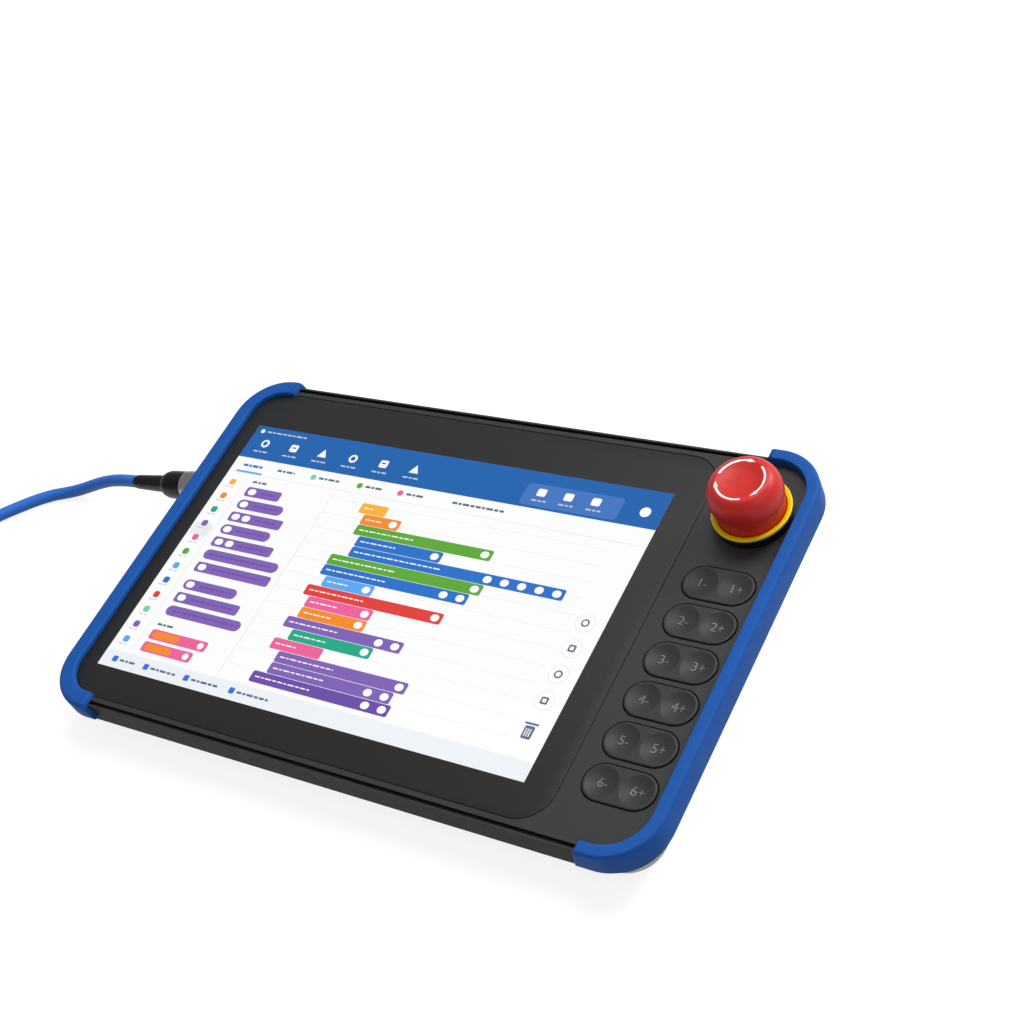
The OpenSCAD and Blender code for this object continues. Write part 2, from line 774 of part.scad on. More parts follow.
module cover_hollow() {
    difference() {
        slab(-cavity_d, -frame_d + 1) round_rect(2 * (cw - rim_side), 2 * (ch - rim_top), 4);
        slab(-cavity_d - 1, -cavity_d + strap_pad) translate([0, strap_y + 3])
            square([strap_l + 6, strap_w + 16], center = true);
    }
    for (m = [0, 1]) mirror([m, 0, 0]) grip_hollow();
}

module strap_outline(grow) {
    translate([0, strap_y]) pill(strap_l + 2 * grow, strap_w + 2 * grow);
}

module finger_notch() {
    slab(-back_d - 1, -back_d + notch_d) translate([0, strap_y + strap_w / 2 + notch_h / 2 - 6]) {
        round_rect(notch_w, notch_h + 12, 3);
    }
}

module rear_cover() {
    color([0.69, 0.7, 0.7]) rest() difference() {
        cover_shell();
        cover_hollow();
        gasket_band(0);
        for (p = screw_at) translate([p[0], p[1], 0]) {
            translate([0, 0, -far_out])
                cylinder(r = counterbore_r, h = far_out - screw_seat, $fn = 24);
            translate([0, 0, -far_out]) cylinder(r = screw_hole_r, h = far_out, $fn = 24);
        }
        slab(-back_d - 1, -back_d + strap_d) strap_outline(0);
        finger_notch();
        slab(-back_d - 1, -back_d + label_d) translate([0, label_y]) pill(label_w, label_h);
        for (m = [-1, 1]) translate([m * foot_x, foot_y, foot_z]) bar_x(foot_r, foot_l);
        for (p = strap_screw_at()) translate([p[0], p[1], -back_d])
            cylinder(r = screw_r + seat_gap, h = 5);
        bezel_block(bezel_out + 15, fit_gap);
        on_plug_axis() translate([0, 0, -boss_len - 1])
            cylinder(r = socket_r + seat_gap, h = boss_len + 2);
    }
}

module housing_screws() {
    color([0.12, 0.12, 0.13]) rest() for (p = screw_at) translate([p[0], p[1], 0])
        difference() {
            union() {
                translate([0, 0, -screw_seat - screw_head_h])
                    cylinder(r = screw_head_r, h = screw_head_h);
                translate([0, 0, -screw_seat - eps])
                    cylinder(r = screw_r, h = screw_seat - screw_depth + eps);
            }
            translate([0, 0, -screw_seat - screw_head_h - eps])
                cylinder(r = 1.44, h = 1.5, $fn = 6);
        }
}

module rest_feet() {
    color([0.6, 0.61, 0.62]) rest() for (m = [-1, 1])
        translate([m * foot_x, foot_y, foot_z]) bar_x(foot_r, foot_l);
}

// ---- bumpers -----------------------------------------------------------------------

// Both sections have the frame's wall at X = corner_r and the face at Y = 0. Each bumper
// hooks into the groove that runs round the face.
module bumper_hook() {
    translate([corner_r - groove_in + fit_gap, -groove_d + fit_gap])
        square([groove_w - 2 * fit_gap, groove_d]);
}

module bumper_left_section() {
    top_r = rise_left;
    inner = corner_r - lap_left;
    outer = corner_r + bumper_t;
    translate([corner_r, -bumper_drop]) square([bumper_t, bumper_drop + 0.2]);
    intersection() {
        translate([inner, 0]) square([outer - inner, rise_left]);
        union() {
            translate([outer - top_r, 0]) circle(r = top_r);
            translate([inner + top_r, 0]) square([outer - inner - 2 * top_r, rise_left]);
            translate([inner + top_r, 0]) circle(r = top_r);
        }
    }
    bumper_hook();
}

module bumper_right_section() {
    inner = corner_r - lap_right;
    outer = corner_r + bumper_t;
    translate([corner_r, -bumper_drop]) square([bumper_t, bumper_drop + 0.2]);
    polygon([[inner, 0], [outer, 0], [outer, rise_right - 1], [outer - 0.7, rise_right],
        [inner, rise_right]]);
    bumper_hook();
}

module bumper_left() {
    color([0.18, 0.37, 0.69]) rest() mirror([1, 0, 0])
        side_sweep(body_w, body_h, corner_r, bumper_end) bumper_left_section();
}

module bumper_right() {
    color([0.18, 0.37, 0.69]) rest()
        side_sweep(body_w, body_h, corner_r, bumper_end) bumper_right_section();
}

// ---- jog keys ----------------------------------------------------------------------

module jog_key(i) {
    color([0.24, 0.24, 0.25]) rest() translate([key_x, key_ys[i], 0]) difference() {
        union() {
            difference() {
                slab(key_skirt_z, key_rise) pill(key_l, key_w);
                slab(key_skirt_z - 1, key_rise - key_cap)
                    pill(key_l - 2 * key_skirt_t, key_w - 2 * key_skirt_t);
            }
            slab(key_lug_z, key_rise - key_cap + eps)
                square([key_lug_w, key_w - 2 * key_skirt_t + 2 * eps], center = true);
            for (x = [-1, 1]) translate([x * key_dish_x, 0, key_post_z])
                cylinder(r = key_post_r, h = key_rise - key_cap - key_post_z + eps);
        }
        for (x = [-1, 1]) translate([x * key_dish_x, 0, key_rise + dish_ball - dish_d])
            sphere(r = dish_ball);
        translate([0, 0, key_pin_z]) bar_y(key_pin_r + run_gap, key_w + 2);
    }
}

module jog_key_1() { jog_key(0); }
module jog_key_2() { jog_key(1); }
module jog_key_3() { jog_key(2); }
module jog_key_4() { jog_key(3); }
module jog_key_5() { jog_key(4); }
module jog_key_6() { jog_key(5); }

module key_pins() {
    color([0.75, 0.75, 0.77]) rest() for (y = key_ys) translate([key_x, y, key_pin_z])
        bar_y(key_pin_r, well_w + 2 * pin_reach);
}

function key_screws() = [for (x = [-1, 1], y = [-1, 1])
    [key_x + x * key_dish_x, pad_y + y * (2.5 * key_pitch + well_w / 2 + 3)]];

module pad_outline() {
    translate([(pad_in + pad_out) / 2, pad_y]) square([pad_out - pad_in, pad_h], center = true);
}

module key_pad() {
    color([0.55, 0.56, 0.58]) rest() difference() {
        union() {
            slab(well_z - pad_t, well_z) pad_outline();
            for (y = key_ys, x = [-1, 1]) translate([key_x + x * key_dish_x, y, well_z - eps])
                cylinder(r = dome_r, h = dome_top - well_z + eps);
        }
        for (p = key_screws()) translate([p[0], p[1], well_z - pad_t - 1])
            cylinder(r = small_screw_r + fit_gap, h = pad_t + 2);
    }
}

module key_board() {
    color([0.1, 0.35, 0.18]) rest() difference() {
        slab(key_board_z - key_board_t, key_board_z) pad_outline();
        for (p = key_screws()) translate([p[0], p[1], key_board_z - key_board_t - 1])
            cylinder(r = small_screw_r + fit_gap, h = key_board_t + 2);
    }
}

module key_board_screws() {
    color([0.75, 0.75, 0.77]) rest() for (p = key_screws())
        translate([p[0], p[1], key_board_z - key_board_t])
            small_screw(key_board_t + pad_t + 3);
}

// ---- emergency stop ----------------------------------------------------------------

module on_stop() { translate([stop_x, stop_up, 0]) children(); }

module stop_head() {
    hollow_r = head_skirt_r - 1.8;
    color([0.77, 0.2, 0.19]) rest() on_stop() difference() {
        rotate_extrude() polygon([[0, head_low], [head_skirt_r, head_low],
            [head_skirt_r, head_low + 4.1], [head_r - 0.6, head_low + 6.2],
            [head_r - 0.1, head_low + 8.6], [head_r, head_low + 10.6],
            [head_r - 0.35, head_top - 5], [head_r - 1.1, head_top - 3.1],
            [head_r - 2.3, head_top - 1.5], [head_r - 3.6, head_top - 0.5],
            [head_r - 4.8, head_top], [head_r - 6.2, head_top - 0.3],
            [head_r - 9, head_top - 1], [0, head_top - 1.3]]);
        difference() {
            translate([0, 0, head_low - 1]) cylinder(r = hollow_r, h = 8);
            translate([0, 0, head_low + 2]) cylinder(r = stem_r + 2.5, h = 10);
        }
        translate([0, 0, head_low - 1])
            cylinder(r = stem_r + run_gap, h = stem_top - head_low + 1 + slip);
    }
}

module stop_stem() {
    color([0.15, 0.15, 0.15]) rest() on_stop() translate([0, 0, stem_low])
        cylinder(r = stem_r, h = stem_top - stem_low);
}

module stop_ring() {
    color([0.94, 0.76, 0.12]) rest() on_stop() rotate_extrude()
        polygon([[collar_in, ring_low], [ring_r - 0.4, ring_low], [ring_r, ring_low + 0.5],
            [ring_r, ring_top - 0.3], [ring_r - 0.3, ring_top], [ring_r - 0.8, ring_top],
            [collar_in, ring_low + 0.3]]);
}

module stop_barrel() {
    color([0.08, 0.08, 0.08]) rest() on_stop() difference() {
        union() {
            cylinder(r = collar_r, h = ring_low);
            translate([0, 0, barrel_low]) cylinder(r = barrel_r, h = -barrel_low + eps);
        }
        difference() {
            translate([0, 0, 0.2]) cylinder(r = collar_in, h = ring_low);
            cylinder(r = stem_r + 1.5, h = ring_low - 2.2);
        }
        translate([0, 0, barrel_low - 1])
            cylinder(r = stem_r + run_gap, h = ring_low - barrel_low + 1);
    }
}

module stop_nut() {
    color([0.12, 0.12, 0.12]) rest() on_stop() difference() {
        translate([0, 0, -face_t - nut_h])
            cylinder(d = nut_flats / cos(30), h = nut_h, $fn = 6);
        translate([0, 0, -face_t - nut_h - 1]) cylinder(r = barrel_r + seat_gap, h = nut_h + 2);
    }
}

module stop_contacts() {
    color([0.25, 0.25, 0.28]) rest() on_stop() {
        slab(contact_low, barrel_low) square([contact_w, contact_h], center = true);
        for (x = [-1, 1], y = [-1, 1]) translate([x * 5.5, y * 8, contact_low - 0.9])
            cylinder(r = 1.8, h = 0.9 + eps);
    }
}

// ---- enabling switch ---------------------------------------------------------------

module paddle_outline() {
    polygon([[-paddle_l / 2, paddle_in], [paddle_l / 2, paddle_in],
        [paddle_l / 2, bezel_out], [paddle_top_l / 2 + 1, bezel_out + paddle_out - 0.7],
        [paddle_top_l / 2 - 0.6, bezel_out + paddle_out],
        [-paddle_top_l / 2 + 0.6, bezel_out + paddle_out],
        [-paddle_top_l / 2 - 1, bezel_out + paddle_out - 0.7], [-paddle_l / 2, bezel_out]]);
}

module enabling_paddle() {
    color([0.1, 0.1, 0.1]) rest() on_slant() {
        slab(-paddle_h / 2, paddle_h / 2) paddle_outline();
        translate([0, (paddle_in + rod_in) / 2, 0]) bar_y(rod_r, paddle_in - rod_in + 2 * eps);
    }
}

module enabling_bezel() {
    color([0.16, 0.16, 0.16]) rest() difference() {
        union() {
            bezel_block(bezel_out, 0);
            on_slant() slab(paddle_h / 2 + slip, paddle_h / 2 + slip + shelf_t)
                polygon([[-paddle_l / 2 + 1, bezel_out - 1], [paddle_l / 2 - 1, bezel_out - 1],
                    [paddle_l / 2 - 1, bezel_out], [paddle_top_l / 2, bezel_out + shelf_out],
                    [-paddle_top_l / 2, bezel_out + shelf_out], [-paddle_l / 2 + 1, bezel_out]]);
        }
        on_slant() slab(-paddle_h / 2 - slip, paddle_h / 2 + slip)
            square([paddle_l + 2 * slip, far_out], center = true);
    }
}

module enabling_switch() {
    color([0.2, 0.2, 0.22]) rest() on_slant() difference() {
        slab(-bezel_h / 2 + 1, bezel_h / 2 - 1) translate([0, bezel_in - switch_d / 2])
            square([switch_l, switch_d], center = true);
        translate([0, bezel_in - switch_d / 2, 0]) bar_y(rod_r + run_gap, switch_d + 2);
    }
}

// ---- power button and USB port -----------------------------------------------------

module on_top_wall(x, z) { translate([x, hh, z]) rotate([90, 0, 0]) children(); }

module power_mouth() {
    on_top_wall(power_x, port_z) translate([0, 0, -1]) linear_extrude(wall + 2)
        pill(power_l + 2 * slip, power_h + 2 * slip);
}

module power_button() {
    color([0.25, 0.25, 0.26]) rest() on_top_wall(power_x, port_z) {
        translate([0, 0, -power_out]) linear_extrude(power_out + wall) pill(power_l, power_h);
        translate([-power_l / 2 - 1.2, -power_h / 2, wall + slip])
            cube([power_l + 2.4, power_h / 2 - port_z - face_t - slip, 1]);
        translate([0, -0.3, wall - eps]) linear_extrude(slip + 2 * eps)
            square([power_l - 3, power_h - 1.6], center = true);
    }
}

module power_switch() {
    low = hh - wall - slip - 1 - power_travel - slip;
    color([0.3, 0.3, 0.32]) rest() translate([power_x, 0, 0]) {
        slab(port_z - 2.6, -face_t) translate([0, low - 2.5]) square([7, 5], center = true);
        slab(port_z - 3.6, port_z - 2.6 + eps) translate([0, low - 3]) square([12, 6], center = true);
    }
}

module port_mouth() {
    mid = (cover_low + cover_top) / 2;
    on_top_wall(port_x, mid) translate([0, 0, -1]) linear_extrude(cover_plate + fit_gap + 1)
        square([cover_w + 2 * slip, cover_top - cover_low + 2 * slip], center = true);
    translate([port_x, port_hinge_y, cover_low]) bar_x(knuckle_r + slip, cover_w + 2 * slip);
    slab(cover_low - knuckle_r - slip, cover_low) translate([port_x, port_hinge_y + 2])
        square([cover_w + 2 * slip, 4], center = true);
    translate([port_x, port_hinge_y, cover_low]) bar_x(port_pin_r + seat_gap, cover_w + 4);
    on_top_wall(port_x, port_z) linear_extrude(wall + 1)
        pill(usb_w + 2 * fit_gap, usb_h + 2 * fit_gap);
}

module port_cover() {
    rib_z = (cover_low + knuckle_r + cover_top) / 2;
    color([0.2, 0.2, 0.2]) rest() difference() {
        union() {
            on_top_wall(port_x, (cover_low + cover_top) / 2) linear_extrude(cover_plate)
                square([cover_w, cover_top - cover_low], center = true);
            translate([port_x, port_hinge_y, cover_low]) bar_x(knuckle_r, cover_w);
            for (i = [-2:2]) on_top_wall(port_x + 2 * i, rib_z)
                translate([0, 0, -0.5 - 0.2 * abs(i)]) linear_extrude(1.2 + 0.2 * abs(i))
                    square([0.9, 4], center = true);
        }
        translate([port_x, port_hinge_y, cover_low]) bar_x(port_pin_r + run_gap, cover_w + 2);
    }
}

module port_pin() {
    color([0.75, 0.75, 0.77]) rest() translate([port_x, port_hinge_y, cover_low])
        bar_x(port_pin_r, cover_w + 4);
}

module usb_socket() {
    start = cover_plate + fit_gap + 0.5;
    color([0.75, 0.75, 0.77]) rest() on_top_wall(port_x, port_z) {
        difference() {
            translate([0, 0, start]) linear_extrude(usb_d) pill(usb_w, usb_h);
            translate([0, 0, start - 1]) linear_extrude(usb_d - 1)
                pill(usb_w - 2 * usb_t, usb_h - 2 * usb_t);
        }
        translate([0, 0, start + 1]) linear_extrude(usb_d - 2) square([6.7, 0.7], center = true);
        translate([-3, usb_h / 2 - 0.2, start + wall])
            cube([6, -port_z - face_t - usb_h / 2 + 0.2, usb_d - wall]);
    }
}

// ---- hand strap --------------------------------------------------------------------

strap_z = -back_d + strap_d;

function strap_screw_at() = [for (m = [-1, 1], n = [-1, 1])
    [m * (strap_l / 2 - strap_screw_in), strap_y + n * strap_screw_up]];

module hand_strap() {
    color([0.5, 0.52, 0.53]) rest() slab(strap_z - strap_t, strap_z) translate([0, strap_y])
        square([strap_l - 2 * plate_len - 2 * fit_gap, strap_w - 2 * fit_gap], center = true);
}

module strap_plates() {
    color([0.62, 0.63, 0.64]) rest() difference() {
        slab(strap_z - strap_t, strap_z) difference() {
            strap_outline(-fit_gap);
            translate([0, strap_y]) square([strap_l - 2 * plate_len, strap_w + 2], center = true);
        }
        for (p = strap_screw_at()) translate([p[0], p[1], strap_z - strap_t - 1])
            cylinder(r = screw_r + fit_gap, h = strap_t + 2);
    }
}

module strap_screws() {
    color([0.75, 0.75, 0.77]) rest() for (p = strap_screw_at())
        translate([p[0], p[1], strap_z - strap_t]) {
            rotate_extrude() polygon([[0, 0], [strap_screw_r, 0], [strap_screw_r, -0.4],
                [strap_screw_r * 0.8, -0.9], [strap_screw_r * 0.45, -1.2], [0, -1.3]]);
            translate([0, 0, -eps]) cylinder(r = screw_r, h = strap_t + 2);
        }
}

// ---- connector ---------------------------------------------------------------------

module cable_socket() {
    color([0.72, 0.6, 0.35]) rest() on_plug_axis() difference() {
        union() {
            translate([0, 0, -boss_len + 6]) cylinder(r = socket_r, h = boss_len - 6 + eps);
            cylinder(r = flange_r, h = flange_t);
        }
        translate([0, 0, flange_t - socket_deep])
            cylinder(r = plug_in_r + run_gap, h = socket_deep + 1);
    }
}

module plug_coupling() {
    color([0.72, 0.72, 0.74]) rest() on_plug_axis() {
        translate([0, 0, flange_t - plug_in_l]) cylinder(r = plug_in_r, h = plug_in_l + 1);
        translate([0, 0, flange_t + 0.1]) cylinder(r = nut_r, h = nut_l);
        translate([0, 0, flange_t + nut_l])
            cylinder(r = coupling_r, h = barrel_end - flange_t - nut_l);
    }
}

module plug_grip() {
    color([0.08, 0.08, 0.08]) rest() on_plug_axis() rotate_extrude() polygon([
        [0, barrel_end], [grip_r - 0.3, barrel_end], [grip_r, barrel_end + 1.5],
        [grip_r, grip_end - 7], [grip_r - 0.4, grip_end - 4], [grip_r - 1.4, grip_end - 1.4],
        [grip_r - 2.6, grip_end], [0, grip_end]]);
}

module relief_section(r0, r1, l) {
    polygon([[0, 0], [r0, 0], [r1, l - 1], [r1 - 0.3, l], [0, l]]);
}

module plug_relief() {
    color([0.08, 0.08, 0.08]) rest() on_plug_axis() translate([0, 0, grip_end])
        rotate_extrude() relief_section(relief_r0, relief_r1, relief_end - grip_end);
}

// ---- cable -------------------------------------------------------------------------

module cable() {
    color([0.25, 0.44, 0.75]) {
        tube(route_in, cable_r, 10);
        tube(route_out, cable_r, 10);
    }
}

module coil_section(grow) {
    translate([coil_in - grow, coil_z - grow])
        square([coil_out - coil_in + 2 * grow, coil_h + 2 * grow]);
}

module cable_coil() {
    color([0.25, 0.44, 0.75]) translate([coil_x, coil_y, 0]) rotate_extrude() coil_section(0);
}

module coil_tie() {
    half = asin(tie_w / 2 / coil_r);
    color([0.06, 0.06, 0.06]) translate([coil_x, coil_y, 0]) rotate([0, 0, 180 - half])
        rotate_extrude(angle = 2 * half) difference() {
            coil_section(tie_t);
            coil_section(0);
        }
}

module on_far_axis() { translate([far_x, far_y, far_z]) rotate([90, 0, 0]) children(); }

module far_relief() {
    color([0.08, 0.08, 0.08]) on_far_axis() mirror([0, 0, 1]) rotate_extrude()
        relief_section(relief_r0, relief_r1, 18);
}

module far_plug() {
    color([0.08, 0.08, 0.08]) on_far_axis() rotate_extrude()
        polygon([[0, 0], [grip_r - 2.4, 0], [grip_r, 3], [grip_r + 0.6, 8],
            [grip_r + 0.6, far_grip_l], [0, far_grip_l]]);
}

module far_coupling() {
    color([0.72, 0.72, 0.74]) on_far_axis() {
        translate([0, 0, far_grip_l]) cylinder(r = coupling_r, h = far_neck_l);
        translate([0, 0, far_grip_l + far_neck_l]) cylinder(r = nut_r, h = nut_l + 1);
        translate([0, 0, far_grip_l + far_neck_l + nut_l + 1])
            cylinder(r = plug_in_r, h = far_pin_l);
    }
}

front_frame();
touch_glass();
glass_seal();
display_panel();
chassis_plate();
chassis_screws();
board_standoffs();
main_board();
housing_gasket();
rear_cover();
housing_screws();
rest_feet();
bumper_left();
bumper_right();
jog_key_1();
jog_key_2();
jog_key_3();
jog_key_4();
jog_key_5();
jog_key_6();
key_pins();
key_pad();
key_board();
key_board_screws();
stop_head();
stop_stem();
stop_ring();
stop_barrel();
stop_nut();
stop_contacts();
enabling_paddle();
enabling_bezel();
enabling_switch();
power_button();
power_switch();
port_cover();
port_pin();
usb_socket();
hand_strap();
strap_plates();
strap_screws();
cable_socket();
plug_coupling();
plug_grip();
plug_relief();
cable();
cable_coil();
coil_tie();
far_relief();
far_plug();
far_coupling();
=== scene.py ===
"""Dresses the hand-held teach pendant: finishes, bumpers, keys, screen, stop button, strap and cable.

Shapes are given in millimetres with the pendant flat and face up, the middle of its face at
the origin, and laid() then puts them on the table, leaning on the pendant's two grips.
"""

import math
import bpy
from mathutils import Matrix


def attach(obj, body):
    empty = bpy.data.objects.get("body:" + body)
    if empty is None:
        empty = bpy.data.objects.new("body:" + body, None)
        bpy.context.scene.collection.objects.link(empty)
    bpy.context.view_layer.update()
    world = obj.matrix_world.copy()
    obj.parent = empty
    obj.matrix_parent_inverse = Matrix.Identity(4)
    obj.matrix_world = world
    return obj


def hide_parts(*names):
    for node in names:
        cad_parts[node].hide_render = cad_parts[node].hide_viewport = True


bl_info = {
    "name": "Teach Pendant",
    "version": (1, 0, 0),
    "blender": (4, 5, 0),
    "location": "3D View > Sidebar > Pendant",
    "description": "Builds the outer pieces and finishes of a hand-held teach pendant",
    "category": "Object",
}

import bmesh
import bpy
import numpy as np
from bpy.props import FloatProperty, FloatVectorProperty, IntProperty, PointerProperty
from mathutils import Matrix, Vector

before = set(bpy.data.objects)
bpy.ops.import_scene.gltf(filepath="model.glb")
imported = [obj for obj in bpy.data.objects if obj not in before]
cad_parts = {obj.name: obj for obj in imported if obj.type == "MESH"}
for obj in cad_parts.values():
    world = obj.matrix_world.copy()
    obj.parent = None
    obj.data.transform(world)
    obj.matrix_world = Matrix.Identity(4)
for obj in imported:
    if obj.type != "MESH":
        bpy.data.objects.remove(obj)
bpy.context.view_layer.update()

MM = 0.001
TILT = math.radians(14.046477959814167)
SHIFT = -0.5460950552
LIFT = 43.0911860263
HALF_W, HALF_H, CORNER = 144.4, 90.0, 20.0
KEY_X = 123.1
KEY_YS = [27.1 - 17.9 * i for i in range(6)]
STOP_X, STOP_Y = 124.2, 60.6

TINY = 1e-9
WELD, COPY_WELD = 1e-7, 2e-6
FLAT_ANGLE, BEVEL_ANGLE = 0.6, 50


# ---- sizes and colours -------------------------------------------------------------


def length(name, text, mm, low=0.0, high=1000.0):
    """A length setting, given in millimetres."""
    return FloatProperty(
        name=name, description=text, default=mm * MM, min=low * MM, max=high * MM,
        unit="LENGTH", subtype="DISTANCE", precision=5,
    )


def paint(name, text, code):
    """A colour setting, given as a #rrggbb code."""
    return FloatVectorProperty(
        name=name, description=text, default=tint(code), size=4, min=0, max=1, subtype="COLOR",
    )


def tint(code):
    """Linear colour of a #rrggbb code."""
    parts = [int(code[i:i + 2], 16) / 255 for i in (1, 3, 5)]
    return tuple(c / 12.92 if c <= 0.04045 else ((c + 0.055) / 1.055) ** 2.4 for c in parts) + (1,)


class PendantSizes(bpy.types.PropertyGroup):
    """Sizes of the pieces that are shaped here"""

    bumper_out: length("Bumper thickness", "Thickness of the bumpers on the body's sides", 2.2)
    bumper_drop: length("Bumper drop", "How far the bumpers reach down the sides", 7.5)
    bumper_slant: length(
        "Bumper end slant", "How much further the bumpers' lower edge reaches at their ends", 3.0)
    dish_depth: length("Dish depth", "Depth of the finger dishes in the jog keys", 1.4)
    dish_width: length("Dish width", "Width of the finger dishes in the jog keys", 13.0)
    numeral_height: length("Numeral height", "Height of the raised numerals on the jog keys", 4.0)
    arrow_radius: length("Arrow ring radius", "Radius of the turning arrows on the stop button", 9.5)
    arrow_width: length("Arrow width", "Width of the arrows' stroke", 0.85)
    stitch_pitch: length("Stitch pitch", "Distance from one strap stitch to the next", 3.4)
    stitch_length: length("Stitch length", "Length of one strap stitch", 2.2)
    cable_width: length("Cable diameter", "Diameter of the cable", 6.2)
    rib_count: IntProperty(
        name="Coupling ribs", description="Number of grip ribs round the coupling nut",
        default=30, min=8, max=60,
    )


class PendantColours(bpy.types.PropertyGroup):
    """Colours of the finishes"""

    face: paint("Face", "Front frame round the glass", "#2e2f2f")
    glass: paint("Glass", "Touch glass outside the lit picture", "#232323")
    cover: paint("Rear cover", "Rear cover and grips", "#b0b2b3")
    bumper: paint("Bumpers", "Rubber bumpers", "#1e5aac")
    key: paint("Jog keys", "Jog key caps", "#333435")
    stop: paint("Stop button", "Head of the emergency stop", "#d0241f")
    ring: paint("Stop ring", "Ring under the stop button's head", "#ffe600")
    strap: paint("Hand strap", "Webbing of the hand strap", "#7c8082")
    cable: paint("Cable", "Cable jacket", "#2f74d4")


# ---- shapes ------------------------------------------------------------------------


def laid(points):
    """Puts flat, face-up points in millimetres on the table, in metres."""
    p = np.asarray(points, dtype=float).reshape(-1, 3)
    c, s = math.cos(TILT), math.sin(TILT)
    y, z = p[:, 1].copy(), p[:, 2].copy()
    return np.stack([p[:, 0], c * y - s * z + SHIFT, s * y + c * z + LIFT], 1) * MM


def turned(points, matrix):
    """Points moved by a 4x4 matrix."""
    m = np.array(matrix)
    p = np.asarray(points, dtype=float).reshape(-1, 3)
    return p @ m[:3, :3].T + m[:3, 3]


def soften(corners, radius, steps, closed=True):
    """Rounds the corners of a 2D outline. radius is one number or one for each corner."""
    pts = [np.array(c, dtype=float) for c in corners]
    n = len(pts)
    radii = radius if isinstance(radius, (list, tuple)) else [radius] * n
    out = []
    for i, p in enumerate(pts):
        if (not closed and i in (0, n - 1)) or radii[i] <= 0:
            out.append(p)
            continue
        a, b = pts[i - 1] - p, pts[(i + 1) % n] - p
        la, lb = np.linalg.norm(a), np.linalg.norm(b)
        cut = min(radii[i], 0.48 * la, 0.48 * lb)
        start, end = p + a / la * cut, p + b / lb * cut
        for k in range(steps + 1):
            t = k / steps
            out.append(start * (1 - t) ** 2 + 2 * p * t * (1 - t) + end * t * t)
    return np.array(out)


def flowing(points, steps):
    """Smooth line through points (a Catmull-Rom curve)."""
    p = np.asarray(points, dtype=float)
    q = np.vstack([2 * p[0] - p[1], p, 2 * p[-1] - p[-2]])
    out = []
    for i in range(1, len(q) - 2):
        for k in range(steps):
            t = k / steps
            out.append(
                0.5 * (2 * q[i] + (q[i + 1] - q[i - 1]) * t
                       + (2 * q[i - 1] - 5 * q[i] + 4 * q[i + 1] - q[i + 2]) * t * t
                       + (3 * q[i] - q[i - 1] - 3 * q[i + 1] + q[i + 2]) * t ** 3)
            )
    out.append(p[-1])
    return np.array(out)


def round_rect(w, h, r, steps, x=0.0, y=0.0):
    """Outline of a rectangle with round corners, anticlockwise."""
    r = min(r, w / 2, h / 2)
    out = []
    for k, (sx, sy) in enumerate([(1, -1), (1, 1), (-1, 1), (-1, -1)]):
        for j in range(steps + 1):
            a = math.radians(-90 + 90 * k + 90 * j / steps)
            across, along = r * math.cos(a), r * math.sin(a)
            out.append((x + sx * (w / 2 - r) + across, y + sy * (h / 2 - r) + along))
    return np.array(out)


def at_height(outline, z):
    """Ring of 3D points from a 2D outline."""
    o = np.asarray(outline, dtype=float)
    return np.column_stack([o, np.full(len(o), float(z))])


def shrunk(outline, by):
    """Outline moved inwards along its own normals."""
    o = np.asarray(outline, dtype=float)
    back, ahead = o - np.roll(o, 1, 0), np.roll(o, -1, 0) - o
    d = back / np.maximum(np.linalg.norm(back, axis=1, keepdims=True), TINY)
    d = d + ahead / np.maximum(np.linalg.norm(ahead, axis=1, keepdims=True), TINY)
    d /= np.maximum(np.linalg.norm(d, axis=1, keepdims=True), TINY)
    inward = np.column_stack([-d[:, 1], d[:, 0]])
    area = np.sum(o[:, 0] * np.roll(o[:, 1], -1) - np.roll(o[:, 0], -1) * o[:, 1])
    return o + inward * by * (1 if area > 0 else -1)


def bands(n, rows):
    """Faces between neighbouring rings of n points each."""
    return [[i * n + k, i * n + (k + 1) % n, (i + 1) * n + (k + 1) % n, (i + 1) * n + k]
            for i in range(rows - 1) for k in range(n)]


def placed(name, data):
    """New object in the scene."""
    obj = bpy.data.objects.new(name, data)
    bpy.context.scene.collection.objects.link(obj)
    return obj


